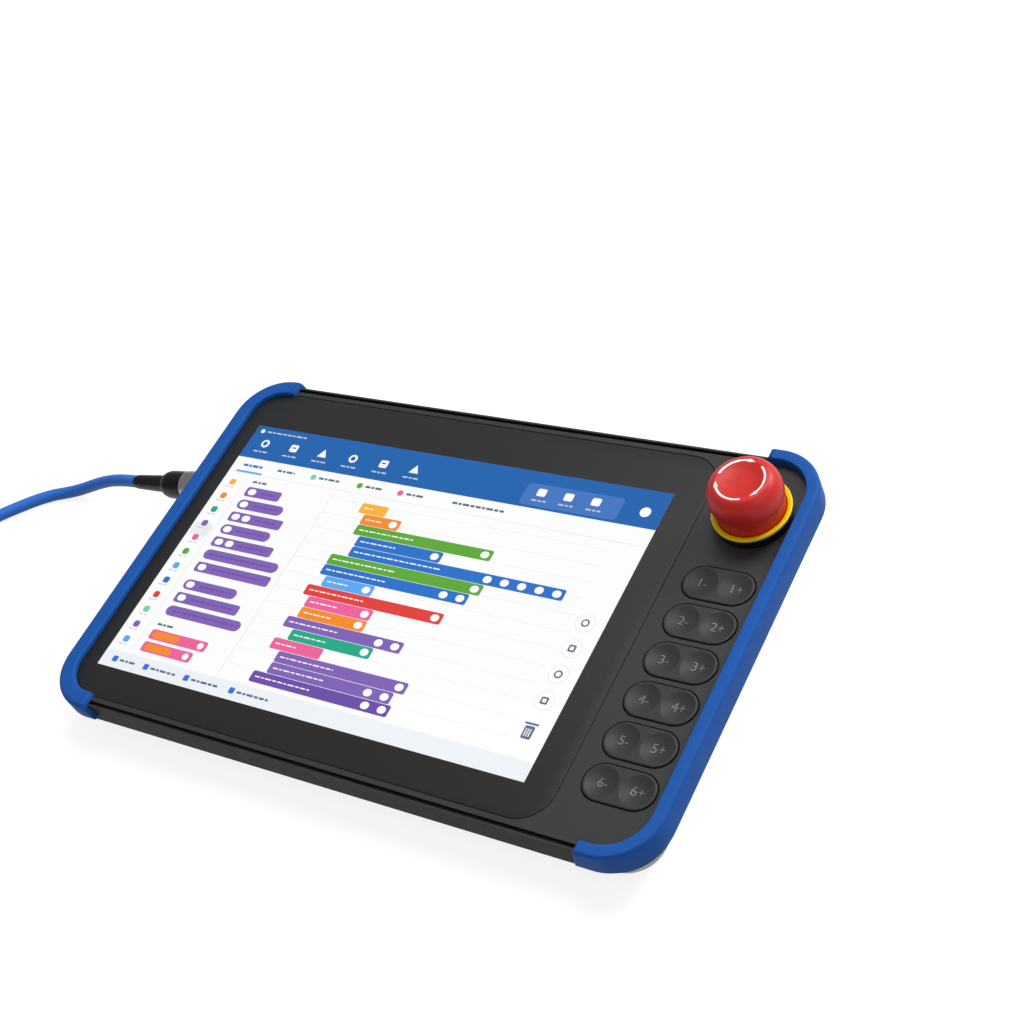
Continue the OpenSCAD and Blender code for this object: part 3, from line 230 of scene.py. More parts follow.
class Shape:
    """Collects closed shells, and makes one mesh object of them."""

    EDGE_STEPS = 3
    ON_AXIS = 1e-6

    def __init__(self):
        self.points, self.faces, self.looks, self.count = [], [], [], 0

    def add(self, points, faces, look=0):
        """Takes in one more shell."""
        self.points.append(np.asarray(points, dtype=float).reshape(-1, 3))
        self.faces += [[i + self.count for i in f] for f in faces]
        self.looks += [look] * len(faces)
        self.count += len(self.points[-1])
        return self

    def rings(self, rings, look=0):
        """Shell through rings with the same number of points, closed over both ends."""
        n, last = len(rings[0]), (len(rings) - 1) * len(rings[0])
        ends = [list(range(n))[::-1], [last + k for k in range(n)]]
        return self.add(np.vstack(rings), bands(n, len(rings)) + ends, look)

    def slab(self, outline, low, high, edge=0.0, look=0):
        """Plate with an outline between two heights, its upper edge rounded."""
        rings = [at_height(outline, low)]
        if edge > 0:
            for k in range(self.EDGE_STEPS + 1):
                a = math.pi / 2 * k / self.EDGE_STEPS
                inner = shrunk(outline, edge * (1 - math.cos(a)))
                rings.append(at_height(inner, high - edge + edge * math.sin(a)))
        else:
            rings.append(at_height(outline, high))
        return self.rings(rings, look)

    def lathe(self, profile, matrix, turns):
        """Solid turned about Z from a profile (radius, height). One that starts on the axis ends
        on it too, and any other is a closed band."""
        inner = [p for p in profile if p[0] > self.ON_AXIS]
        n, pts = turns, []
        for r, z in inner:
            for k in range(n):
                a = 2 * math.pi * k / n
                pts.append((r * math.cos(a), r * math.sin(a), z))
        faces = bands(n, len(inner))
        last = (len(inner) - 1) * n
        if profile[0][0] <= self.ON_AXIS:
            pts.append((0, 0, profile[0][1]))
            faces += [[len(pts) - 1, (k + 1) % n, k] for k in range(n)]
            pts.append((0, 0, profile[-1][1]))
            faces += [[len(pts) - 1, last + k, last + (k + 1) % n] for k in range(n)]
        else:
            faces += [[last + k, last + (k + 1) % n, (k + 1) % n, k] for k in range(n)]
        return self.add(turned(pts, matrix), faces)

    def object(self, name, looks, flat=True, sharp=38.0, weld=WELD):
        """The mesh object, with normals outwards and edges sharper than an angle left crisp."""
        pts = np.vstack(self.points)
        pts = laid(pts) if flat else pts * MM
        mesh = bpy.data.meshes.new(name)
        mesh.from_pydata(pts.tolist(), [], self.faces)
        for m in looks:
            mesh.materials.append(m)
        for face, k in zip(mesh.polygons, self.looks):
            face.material_index = k
        tidy(mesh, weld, sharp)
        return placed(name, mesh)


def tidy(mesh, weld, sharp, flatten=False):
    """Welds a mesh, turns its faces outwards and shades it smooth between its sharp edges."""
    bm = bmesh.new()
    bm.from_mesh(mesh)
    bmesh.ops.remove_doubles(bm, verts=bm.verts, dist=weld)
    if flatten:
        bmesh.ops.dissolve_limit(
            bm, angle_limit=math.radians(FLAT_ANGLE), verts=bm.verts, edges=bm.edges,
            use_dissolve_boundaries=False,
        )
    bmesh.ops.recalc_face_normals(bm, faces=bm.faces)
    bm.to_mesh(mesh)
    bm.free()
    mesh.shade_smooth()
    mesh.set_sharp_from_angle(angle=math.radians(sharp))


def settled(obj):
    """Applies an object's modifiers and leaves a plain mesh on it."""
    graph = bpy.context.evaluated_depsgraph_get()
    mesh = bpy.data.meshes.new_from_object(obj.evaluated_get(graph), depsgraph=graph)
    obj.modifiers.clear()
    obj.data = mesh
    mesh.name = obj.name
    return obj


def handed(obj, body, slot, *nodes):
    """Lets a piece ride on a body and hides the plain solids it stands for. Its slot is not used."""
    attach(obj, body)
    if nodes:
        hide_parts(*nodes)
    return obj


def dressed(node, look, slot, body="housing", edge=0.0, sharp=32.0):
    """Smooth copy of a plain solid in its place, with its edges rounded by edge millimetres."""
    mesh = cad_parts[node].data.copy()
    mesh.name = node + "_skin"
    mesh.materials.clear()
    mesh.materials.append(look)
    for face in mesh.polygons:
        face.material_index = 0
    if mesh.has_custom_normals:
        own = mesh.attributes.get("custom_normal")
        if own is not None:
            mesh.attributes.remove(own)
    tidy(mesh, COPY_WELD, sharp, flatten=True)
    obj = placed(mesh.name, mesh)
    if edge > 0:
        bevel = obj.modifiers.new("edges", "BEVEL")
        bevel.width, bevel.segments, bevel.limit_method = edge * MM, 2, "ANGLE"
        bevel.angle_limit, bevel.use_clamp_overlap = math.radians(BEVEL_ANGLE), True
    weight = obj.modifiers.new("normals", "WEIGHTED_NORMAL")
    weight.keep_sharp = True
    settled(obj)
    return handed(obj, body, slot, node)


def finish_node(node, look):
    """Gives a plain solid that stays its finish."""
    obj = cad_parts[node]
    if not obj.material_slots:
        obj.data.materials.append(look)
    for slot in obj.material_slots:
        slot.material = look


# ---- finishes ----------------------------------------------------------------------


def knot(tree, kind, **values):
    """Adds a node and sets its properties."""
    node = tree.nodes.new(kind)
    for key, value in values.items():
        setattr(node, key, value)
    return node


def set_inputs(node, **values):
    """Sets a node's sockets by name, an underscore standing for a space."""
    for key, value in values.items():
        node.inputs[key.replace("_", " ")].default_value = value


def blank(name):
    """New material with its tree and its shader."""
    mat = bpy.data.materials.new(name)
    mat.use_nodes = True
    return mat, mat.node_tree, mat.node_tree.nodes["Principled BSDF"]


def noise(tree, where, scale, detail):
    """Noise on object coordinates."""
    cloud = knot(tree, "ShaderNodeTexNoise")
    set_inputs(cloud, Scale=scale, Detail=detail)
    tree.links.new(where.outputs["Object"], cloud.inputs["Vector"])
    return cloud.outputs["Fac"]


def drifting(tree, where, colour, low, high, scale, detail):
    """Colour that wanders softly between a darker and a lighter shade of itself."""
    wide = noise(tree, where, scale, detail)
    mix = knot(tree, "ShaderNodeMix", data_type="RGBA")
    for side, share in (("A", low), ("B", high)):
        mix.inputs[side].default_value = tuple(min(1, c * share) for c in tuple(colour)[:3]) + (1,)
    tree.links.new(wide, mix.inputs["Factor"])
    return mix.outputs["Result"]


SHEEN_ROUGH = 0.4
WEAR_SCALE = 160.0
GRAIN_DEPTH, WEAVE_DEPTH = 0.0001, 0.0003


def finish(name, colour, rough, metal=0.0, grain=0.0, grain_scale=1800.0, drift=0.05,
           drift_scale=14.0, rough_drift=0.06, edge=0.0, specular=0.5, sheen=0.0, weave=None):
    """Material with soft colour drift, uneven roughness and a moulded grain, all on object coordinates."""
    mat, tree, shader = blank(name)
    link = tree.links.new
    shader.inputs["Metallic"].default_value = metal
    shader.inputs["Specular IOR Level"].default_value = specular
    if sheen:
        set_inputs(shader, Sheen_Weight=sheen, Sheen_Roughness=SHEEN_ROUGH)
    where = knot(tree, "ShaderNodeTexCoord")
    shade = drifting(tree, where, colour, 1 - drift, 1 + drift, drift_scale, 3)
    link(shade, shader.inputs["Base Color"])
    spread = knot(tree, "ShaderNodeMapRange")
    set_inputs(spread, To_Min=max(0.02, rough - rough_drift), To_Max=min(1.0, rough + rough_drift))
    link(noise(tree, where, WEAR_SCALE, 2), spread.inputs["Value"])
    link(spread.outputs["Result"], shader.inputs["Roughness"])
    normal = None
    if edge > 0:
        soft = knot(tree, "ShaderNodeBevel", samples=4)
        soft.inputs["Radius"].default_value = edge * MM
        normal = soft.outputs["Normal"]
    if grain > 0:
        dots = woven(tree, where, weave) if weave else noise(tree, where, grain_scale, 1)
        bump = knot(tree, "ShaderNodeBump")
        set_inputs(bump, Strength=grain, Distance=WEAVE_DEPTH if weave else GRAIN_DEPTH)
        link(dots, bump.inputs["Height"])
        if normal is not None:
            link(normal, bump.inputs["Normal"])
        normal = bump.outputs["Normal"]
    if normal is not None:
        link(normal, shader.inputs["Normal"])
    return mat


def woven(tree, where, pitch):
    """Height of a plain weave with a thread pitch in metres."""
    link = tree.links.new
    tilt = knot(tree, "ShaderNodeMapping")
    tilt.inputs["Rotation"].default_value = (-TILT, 0, 0)
    link(where.outputs["Object"], tilt.inputs["Vector"])
    both = knot(tree, "ShaderNodeMath", operation="MULTIPLY")
    for i, axis in enumerate(("X", "Y")):
        wave = knot(tree, "ShaderNodeTexWave", bands_direction=axis)
        wave.inputs["Scale"].default_value = 0.05 / pitch * 2 * math.pi
        link(tilt.outputs["Vector"], wave.inputs["Vector"])
        link(wave.outputs["Fac"], both.inputs[i])
    return both.outputs["Value"]


def lit(name, code):
    """Material of one colour of the lit picture, with the panel's faint unevenness."""
    mat, tree, shader = blank(name)
    set_inputs(shader, Base_Color=(0.01, 0.01, 0.01, 1), Roughness=0.3, Emission_Strength=1.0)
    shader.inputs["Specular IOR Level"].default_value = 0.25
    where = knot(tree, "ShaderNodeTexCoord")
    shade = drifting(tree, where, tint(code), 0.95, 1.03, 9, 2)
    tree.links.new(shade, shader.inputs["Emission Color"])
    return mat


def finishes(colours):
    """All finishes of the pendant by name: title, colour, roughness and the rest of its look."""
    fine = {"grain_scale": 2600, "drift": 0.04}
    hard = {"grain": 0.3, "grain_scale": 2200}
    bare = {"metal": 1.0, "rough_drift": 0.1}
    rows = {
        "face": ("Front frame plastic", colours.face, 0.5, dict(fine, grain=0.25, edge=0.3, specular=0.45)),
        # Walls of the front frame in a darker copy of its plastic: painted shade.
        "side": ("Front frame side wall", tint("#242525"), 0.6, dict(fine, grain=0.25, specular=0.12)),
        "glass": ("Touch glass", colours.glass, 0.46, dict(drift=0.03, rough_drift=0.02, specular=0.33)),
        "cover": ("Rear cover plastic", colours.cover, 0.5, dict(hard, drift=0.03, edge=0.5)),
        "bumper": ("Bumper rubber", colours.bumper, 0.55, dict(fine, grain=0.2, specular=0.12)),
        "key": ("Jog key plastic", colours.key, 0.5, dict(fine, grain=0.2, specular=0.35)),
        "numeral": ("Raised numerals", tint("#6a6e71"), 0.35, dict(drift=0.03)),
        "stop": ("Stop button red", colours.stop, 0.42, dict(grain=0.06, drift=0.03, specular=0.4)),
        "ring": ("Stop ring yellow", colours.ring, 0.45, dict(grain=0.06, drift=0.03, specular=0.3)),
        "mark": ("Arrow print", tint("#ffffff"), 0.5, dict(drift=0.01)),
        # Black with a red tint: painted reflection of the red head in the glossy collar.
        "gloss": ("Collar gloss black", tint("#150807"), 0.16, dict(drift=0.1)),
        "black": ("Black plastic", tint("#161617"), 0.42, dict(hard, drift=0.08, edge=0.25)),
        "rubber": ("Black rubber", tint("#070707"), 0.35,
                   dict(grain=0.15, grain_scale=1500, drift=0.1, specular=0.2)),
        "strap": ("Strap webbing", colours.strap, 0.85,
                  dict(grain=0.55, drift=0.08, drift_scale=60, sheen=0.3, weave=0.0009)),
        "thread": ("Strap thread", tint("#a3a6a8"), 0.7, dict(grain=0.3, grain_scale=4000, drift=0.06)),
        "plate": ("Strap end plates", tint("#a6a8a9"), 0.45, dict(hard, drift=0.03, edge=0.2)),
        "foot": ("Foot rubber", tint("#8e9091"), 0.6, dict(grain=0.3, grain_scale=1500, drift=0.06)),
        "steel": ("Bright steel", tint("#c4c6c8"), 0.28, dict(bare, drift=0.05)),
        "brass": ("Brass", tint("#c39c55"), 0.3, dict(bare, drift=0.08)),
        "nickel": ("Satin nickel", tint("#a9a7a3"), 0.33, dict(bare, drift=0.05)),
        "screw": ("Blackened screws", tint("#1b1b1d"), 0.35, dict(bare, metal=0.7, drift=0.1)),
        "cable": ("Cable jacket", colours.cable, 0.45,
                  dict(grain=0.12, grain_scale=1200, drift=0.04, specular=0.3)),
        "panel": ("Display panel", tint("#d8dadc"), 0.4, dict(drift=0.04)),
        "board": ("Circuit board", tint("#1f5a35"), 0.45, dict(grain=0.2, grain_scale=900, drift=0.15)),
        "dome": ("Key pad rubber", tint("#5f6163"), 0.6, dict(grain=0.2, drift=0.06)),
        "switch": ("Switch body", tint("#3c3d3e"), 0.45, dict(grain=0.2, drift=0.05)),
        "seal": ("Seal", tint("#101011"), 0.7, dict(grain=0.2, drift=0.1)),
    }
    return {key: finish(title, colour, rough, **rest)
            for key, (title, colour, rough, rest) in rows.items()}


LOOK = {}


# ---- repeated pieces ---------------------------------------------------------------


def new_tree(name, inputs):
    """Geometry node tree with a geometry in and out, and named inputs."""
    tree = bpy.data.node_groups.new(name, "GeometryNodeTree")
    tree.interface.new_socket("Geometry", in_out="INPUT", socket_type="NodeSocketGeometry")
    tree.interface.new_socket("Geometry", in_out="OUTPUT", socket_type="NodeSocketGeometry")
    for label, kind, value in inputs:
        item = tree.interface.new_socket(label, in_out="INPUT", socket_type=kind)
        if value is not None:
            item.default_value = value
    return tree, tree.nodes.new("NodeGroupInput"), tree.nodes.new("NodeGroupOutput")


def baked(name, tree, values, points=(), edges=()):
    """Object made by a tree from a wire of points, with its inputs set by identifier, as a plain mesh."""
    mesh = bpy.data.meshes.new(name)
    mesh.from_pydata([tuple(p) for p in points], [tuple(e) for e in edges], [])
    obj = placed(name, mesh)
    mod = obj.modifiers.new(tree.name, "NODES")
    mod.node_group = tree
    for item in tree.interface.items_tree:
        if item.item_type == "SOCKET" and item.in_out == "INPUT" and item.name in values:
            mod[item.identifier] = values[item.name]
    return settled(obj)


def round_bar(tree, start, width, length, rings):
    """Slim rounded bar, and the scale that gives it the tree's width and length."""
    ball = knot(tree, "GeometryNodeMeshUVSphere")
    set_inputs(ball, Segments=8, Rings=rings, Radius=0.5)
    size = knot(tree, "ShaderNodeCombineXYZ")
    for axis, label in (("X", width), ("Y", width), ("Z", length)):
        tree.links.new(start.outputs[label], size.inputs[axis])
    return ball.outputs["Mesh"], size.outputs["Vector"]


def end_tree(tree, end, look, points, piece, turn=None, size=None):
    """Ends a tree: one piece on every point as real geometry, with its finish."""
    link = tree.links.new
    place = knot(tree, "GeometryNodeInstanceOnPoints")
    link(points, place.inputs["Points"])
    link(piece, place.inputs["Instance"])
    if turn is not None:
        link(turn, place.inputs["Rotation"])
    real = knot(tree, "GeometryNodeRealizeInstances")
    link(place.outputs["Instances"], real.inputs["Geometry"])
    last = real.outputs["Geometry"]
    if size is not None:
        link(size, place.inputs["Scale"])
        shade = knot(tree, "GeometryNodeSetShadeSmooth")
        link(last, shade.inputs["Geometry"])
        last = shade.outputs["Geometry"]
    stuff = knot(tree, "GeometryNodeSetMaterial")
    stuff.inputs["Material"].default_value = look
    link(last, stuff.inputs["Geometry"])
    link(stuff.outputs["Geometry"], end.inputs["Geometry"])
    return tree


def stitch_tree(look):
    """Stitches along a wire: short rounded threads at an even pitch, lying along it."""
    tree, start, end = new_tree("Stitches along a seam", [
        ("Pitch", "NodeSocketFloat", 0.0034), ("Length", "NodeSocketFloat", 0.0022),
        ("Thickness", "NodeSocketFloat", 0.0007)])
    link = tree.links.new
    curve = knot(tree, "GeometryNodeMeshToCurve")
    even = knot(tree, "GeometryNodeResampleCurve", mode="LENGTH")
    link(start.outputs["Geometry"], curve.inputs["Mesh"])
    link(curve.outputs["Curve"], even.inputs["Curve"])
    link(start.outputs["Pitch"], even.inputs["Length"])
    thread, size = round_bar(tree, start, "Thickness", "Length", 6)
    along = knot(tree, "FunctionNodeAlignRotationToVector", axis="Z")
    tangent = knot(tree, "GeometryNodeInputTangent")
    link(tangent.outputs["Tangent"], along.inputs["Vector"])
    return end_tree(tree, end, look, even.outputs["Curve"], thread, along.outputs["Rotation"], size)


def rib_tree(look):
    """Ribs round an axis: slim rounded bars on a circle, lying along the axis."""
    tree, start, end = new_tree("Ribs round a nut", [
        ("Count", "NodeSocketInt", 30), ("Radius", "NodeSocketFloat", 0.0088),
        ("Width", "NodeSocketFloat", 0.001), ("Length", "NodeSocketFloat", 0.009)])
    circle = knot(tree, "GeometryNodeMeshCircle")
    tree.links.new(start.outputs["Count"], circle.inputs["Vertices"])
    tree.links.new(start.outputs["Radius"], circle.inputs["Radius"])
    bar, size = round_bar(tree, start, "Width", "Length", 10)
    return end_tree(tree, end, look, circle.outputs["Mesh"], bar, size=size)


def copies_tree(look):
    """Copies of one piece on a wire's points, all turned alike."""
    tree, start, end = new_tree("Copies on points", [
        ("Piece", "NodeSocketObject", None), ("Turn", "NodeSocketVector", (0.0, 0.0, 0.0))])
    link = tree.links.new
    info = knot(tree, "GeometryNodeObjectInfo")
    link(start.outputs["Piece"], info.inputs["Object"])
    dots = knot(tree, "GeometryNodeMeshToPoints")
    link(start.outputs["Geometry"], dots.inputs["Mesh"])
    turn = knot(tree, "FunctionNodeEulerToRotation")
    link(start.outputs["Turn"], turn.inputs["Euler"])
    return end_tree(tree, end, look, dots.outputs["Points"], info.outputs["Geometry"],
                    turn.outputs["Rotation"])


# ---- cable -------------------------------------------------------------------------

LEAD_X, LEAD_Y = -220.3448, 53.8107
ROUTE_IN = [
    (-0.2, 0, 17), (-4.7, 0.3, 16.4), (-11.7, 0.6, 15.3), (-19.7, 0.8, 13.6), (-28.7, 0.7, 10.8),
    (-37.7, -0.2, 7.6), (-45.7, -1.6, 4.9), (-53.7, -4, 3.3), (-60.7, -7.8, 3.1), (-67.2, -13.8, 3.1),
    (-72.7, -20.8, 3.1), (-78.2, -28.8, 3.1), (-83.2, -37.8, 3.1), (-87.7, -47.3, 3.1), (-91.2, -56.8, 3.4),
    (-93.5, -68.8, 3.7),
]
COIL_X, COIL_Y, COIL_OUT = LEAD_X - 138.8, LEAD_Y - 68.8, 45.3
ROUTE_OUT = [
    (0, 0, 9.9), (0, -6, 9.9), (0, -12, 9.7), (0, -19, 9.4), (0, -26, 9.1), (0, -31.7, 9), (0, -37.7, 9),
]


# Turns of the winding in degrees: where each move starts and how long it takes
LAYER_IN, LAYER_IN_LONG = 255, 105
LAYER_UP, LAYER_UP_LONG = 1245, 180
COLUMN_START, COLUMN_LONG, COLUMN_OUT_LONG = 1425.0, 720, 125
COIL_TURN, COIL_STEPS = 4680, 624
COIL_FLOOR = 3.7


def ease(t):
    """Smooth step from 0 to 1."""
    return (1 - math.cos(math.pi * min(1.0, max(0.0, t)))) / 2


def coil_point(turn, width):
    """Point of the winding after an angle in degrees: a flat first layer laid inwards, then four
    columns wound up and down on it, from the inner one to the outer one."""
    r, z = COIL_OUT, COIL_FLOOR
    for k in range(3):
        r -= width * ease((turn - LAYER_IN - 360 * k) / LAYER_IN_LONG)
    z += width * ease((turn - LAYER_UP) / LAYER_UP_LONG)
    at = COLUMN_START
    for k in range(4):
        rise = min(1.0, max(0.0, (turn - at) / COLUMN_LONG))
        z += (1 if k % 2 == 0 else -1) * 2 * width * rise
        at += COLUMN_LONG
        if k < 3:
            r += width * ease((turn - at) / COLUMN_OUT_LONG)
            at += COLUMN_OUT_LONG
    a = -math.radians(turn)
    return (COIL_X + r * math.cos(a), COIL_Y + r * math.sin(a), z)


def cable_line(width):
    """Centre line of the whole cable in millimetres, from its strain relief to the far one."""
    first = flowing(np.array(ROUTE_IN) + [LEAD_X, LEAD_Y, 0], 4)[:-1]
    turns = [COIL_TURN * k / COIL_STEPS for k in range(COIL_STEPS + 1)]
    winding = np.array([coil_point(turn, width) for turn in turns])
    last = flowing(np.array(ROUTE_OUT) + [COIL_X + COIL_OUT, COIL_Y, 0], 3)[1:]
    return np.vstack([first, winding, last])


def tube(line, radius, sides=14):
    """Rings of a tube along a line, carried along it without twist."""
    rings, side = [], None
    for i, p in enumerate(line):
        ahead = line[min(i + 1, len(line) - 1)] - line[max(i - 1, 0)]
        ahead = ahead / np.linalg.norm(ahead)
        if side is None:
            side = np.cross(ahead, [0, 0, 1.0])
        side = side - ahead * np.dot(side, ahead)
        side /= np.linalg.norm(side)
        up = np.cross(side, ahead)
        angles = 2 * np.pi * np.arange(sides) / sides
        rings.append(p + radius * (np.outer(np.cos(angles), side) + np.outer(np.sin(angles), up)))
    return rings


class PENDANT_OT_cable(bpy.types.Operator):
    """Lays the cable from its strain relief into the coil and out to the far connector"""

    bl_idname = "pendant.cable"
    bl_label = "Cable"

    def execute(self, context):
        width = context.scene.pendant_sizes.cable_width / MM
        line = cable_line(width)
        jacket = Shape().rings(tube(line, width / 2))
        obj = jacket.object("cable_jacket", [LOOK["cable"]], flat=False, sharp=60)
        handed(obj, "housing", "cable_blue", "cable", "cable_coil")
        for node, look in (("coil_tie", "rubber"), ("far_relief", "rubber"), ("far_plug", "black"),
                           ("far_coupling", "nickel")):
            finish_node(node, LOOK[look])
        return {"FINISHED"}


# ---- housing -----------------------------------------------------------------------

GLASS_W, GLASS_H, GLASS_CORNER, GLASS_X, GLASS_THICK = 240.6, 170.2, 13.9, -19.0, 1.8
# How far a face of the front frame may turn towards up and still get the painted shade of its walls.
SHADED_WALL_SLOPE = 0.3


class PENDANT_OT_housing(bpy.types.Operator):
    """Dresses the front frame, the touch glass, the rear cover and its feet"""

    bl_idname = "pendant.housing"
    bl_label = "Housing"

    def execute(self, context):
        skin = dressed("front_frame", LOOK["face"], "frame_dark")
        # The frame's walls, whose faces turn away from the face's up, take a darker copy of the frame
        # plastic: painted shade.
        skin.data.materials.append(LOOK["side"])
        up = Vector((0, -math.sin(TILT), math.cos(TILT)))
        for face in skin.data.polygons:
            face.material_index = 1 if abs(face.normal.dot(up)) < SHADED_WALL_SLOPE else 0
        glass = Shape()
        glass.slab(round_rect(GLASS_W, GLASS_H, GLASS_CORNER, 16, GLASS_X), -GLASS_THICK, 0.0, edge=0.3)
        handed(glass.object("touch_glass_pane", [LOOK["glass"]]), "housing", "glass_black", "touch_glass")
        dressed("rear_cover", LOOK["cover"], "cover_grey", sharp=34)
        dressed("rest_feet", LOOK["foot"], "foot_rubber")
        for node, look in [
            ("glass_seal", "seal"), ("display_panel", "panel"), ("chassis_plate", "steel"),
            ("chassis_screws", "steel"), ("board_standoffs", "brass"), ("main_board", "board"),
            ("housing_gasket", "seal"), ("housing_screws", "screw"), ("key_pins", "steel"),
            ("key_pad", "dome"), ("key_board", "board"), ("key_board_screws", "steel"),
        ]:
            finish_node(node, LOOK[look])
        return {"FINISHED"}


# ---- lit picture -------------------------------------------------------------------

SCREEN_LEFT, SCREEN_TOP, SCREEN_W, SCREEN_H = -129.8, 65.2, 217, 135.6
LAYER_LOW, LAYER_HIGH, LAYER_STEP = -0.2, 0.03, 0.05
DASHES, DASH_GAP = (2.6, 1.5, 3.4, 2.0), 0.6

PALETTE = {
    "paper": "#fdfdff", "header": "#0a60ad", "header_light": "#3f73bf", "line": "#e9ecf1",
    "bar": "#eef1f5", "ink": "#5b6b86", "faint": "#c3ccd9", "violet": "#7f5fb5",
    "violet_dark": "#6a4aa5", "orange": "#f58a1f", "amber": "#f9b233", "green": "#5aa832",
    "blue": "#1f6fca", "sky": "#59a7f0", "red": "#e23a36", "pink": "#ee5f9b", "teal": "#16a886",
    "mint": "#7ed0a0", "tab": "#2b6fe0", "white": "#ffffff",
}


class Picture:
    """Flat pictures on the glass, drawn in millimetres from the picture's top left corner."""

    def __init__(self):
        self.shape, self.names = Shape(), list(PALETTE)

    def outline(self, points, colour, layer):
        """Flat patch with an outline of its own."""
        o = np.asarray(points, dtype=float)
        o = np.column_stack([SCREEN_LEFT + o[:, 0], SCREEN_TOP - o[:, 1]])
        self.shape.slab(o, LAYER_LOW, LAYER_HIGH + LAYER_STEP * layer, look=self.names.index(colour))

    def bar(self, x, y, w, h, colour, layer=2, r=0.0):
        """Rectangle from its top left corner, with round corners where r is given."""
        if r > 0:
            o = round_rect(w, h, r, 4, x + w / 2, y + h / 2)
        else:
            o = [(x, y), (x + w, y), (x + w, y + h), (x, y + h)]
        self.outline(o, colour, layer)

    def disc(self, x, y, r, colour, layer=2, sides=16):
        """Round patch about a middle."""
        angles = [2 * math.pi * k / sides for k in range(sides)]
        self.outline([(x + r * math.cos(a), y + r * math.sin(a)) for a in angles], colour, layer)

    def words(self, x, y, w, colour, layer=3, h=0.7):
        """Row of short dashes that stands for a line of words."""
        at, k = 0.0, 0
        while at < w - DASH_GAP:
            piece = min(w - at, DASHES[k % 4])
            self.bar(x + at, y, piece, h, colour, layer, r=0.3)
            at += piece + DASH_GAP
            k += 1


def draw_header(pic):
    """Coloured head of the page, with a row of round, square and three-cornered marks."""
    pic.bar(0, 0, SCREEN_W, 18.6, "header", 1)
    pic.bar(152, 6.2, 46, 11.2, "header_light", 2, r=1.6)
    pic.disc(4.2, 3.0, 1.1, "white", 3)
    pic.words(7, 2.6, 24, "faint", 3)
    for k, x in enumerate((10, 27, 44, 61, 78, 95)):
        if k % 3 == 0:
            pic.disc(x, 9.6, 2.2, "white", 3)
            pic.disc(x, 9.6, 1.2, "header", 4)
        elif k % 3 == 1:
            pic.bar(x - 2.1, 7.6, 4.2, 4.0, "white", 3, r=0.7)
            pic.bar(x - 1.1, 9.0, 2.2, 0.7, "header", 4)
        else:
            pic.outline([(x, 7.3), (x + 2.4, 11.6), (x - 2.4, 11.6)], "white", 3)
        pic.words(x - 4, 14.0, 8, "faint", 3)
    for x in (158, 171, 184):
        pic.bar(x, 8.4, 4.2, 3.8, "white", 4, r=0.8)
        pic.words(x - 1, 14.2, 7, "faint", 4)
    pic.disc(209, 11, 2.4, "white", 3)


def draw_tabs(pic):
    """Row of tabs under the head, the first one picked out."""
    pic.bar(0, 18.6, SCREEN_W, 8.6, "paper", 1)
    pic.bar(0, 27.0, SCREEN_W, 0.35, "line", 2)
    pic.words(6, 22.2, 11, "tab", 3, h=1.3)
    pic.bar(4, 26.0, 15, 1.0, "sky", 3)
    tabs = ((26, "ink", 10), (50, "mint", 12), (76, "green", 9), (98, "pink", 9), (122, "ink", 26))
    for x, colour, w in tabs:
        if colour != "ink":
            pic.disc(x - 3.2, 22.9, 1.5, colour, 3)
        pic.words(x, 22.3, w, "ink", 3, h=1.1)


def draw_lists(pic):
    """Column of coloured squares at the left, and a list of bars beside it."""
    colours = ["amber", "orange", "teal", "violet", "pink", "green",
               "sky", "blue", "red", "mint", "violet", "sky"]
    pic.bar(1.2, 57.0, 10.6, 7.2, "line", 2, r=1.2)
    for k, colour in enumerate(colours):
        y = 31.5 + 8.0 * k
        pic.bar(4.6, y, 3.2, 3.2, colour, 3, r=1.1)
        pic.words(3.6, y + 4.1, 5, "faint", 3, h=0.5)
    pic.bar(12.6, 28, 0.35, 98, "line", 2)
    pic.words(17, 30.6, 8, "ink", 3, h=1.0)
    rows = [(20, 1), (26, 1), (30, 2), (28, 1), (34, 2),
            (42, 0), (42, 1), (30, 1), (36, 1), (42, 0)]
    y = 34.0
    for k, (w, dots) in enumerate(rows):
        pic.bar(16.5, y, w, 5.2, "violet", 2, r=2.6 if k % 2 else 1.2)
        for j in range(dots):
            pic.bar(18.0 + 6.0 * j, y + 1.0, 4.4, 3.2, "white", 3, r=1.6)
        pic.words(19.5 + 6.0 * dots, y + 2.2, max(4, w - 6 - 6.0 * dots), "violet_dark", 3)
        y += 7.1 if k != 6 else 9.6
    pic.words(17, 110.2, 9, "ink", 3, h=1.0)
    for k, w in enumerate((32, 28)):
        pic.bar(16.5, 113.4 + 6.4 * k, w, 5.0, "pink", 2, r=1.2)
        pic.bar(18.0, 114.2 + 6.4 * k, 15, 3.4, "orange", 3, r=1.7)
        pic.disc(16.5 + w - 3.2, 115.9 + 6.4 * k, 1.6, "white", 3)
    pic.bar(62.0, 28, 0.35, 98, "line", 2)


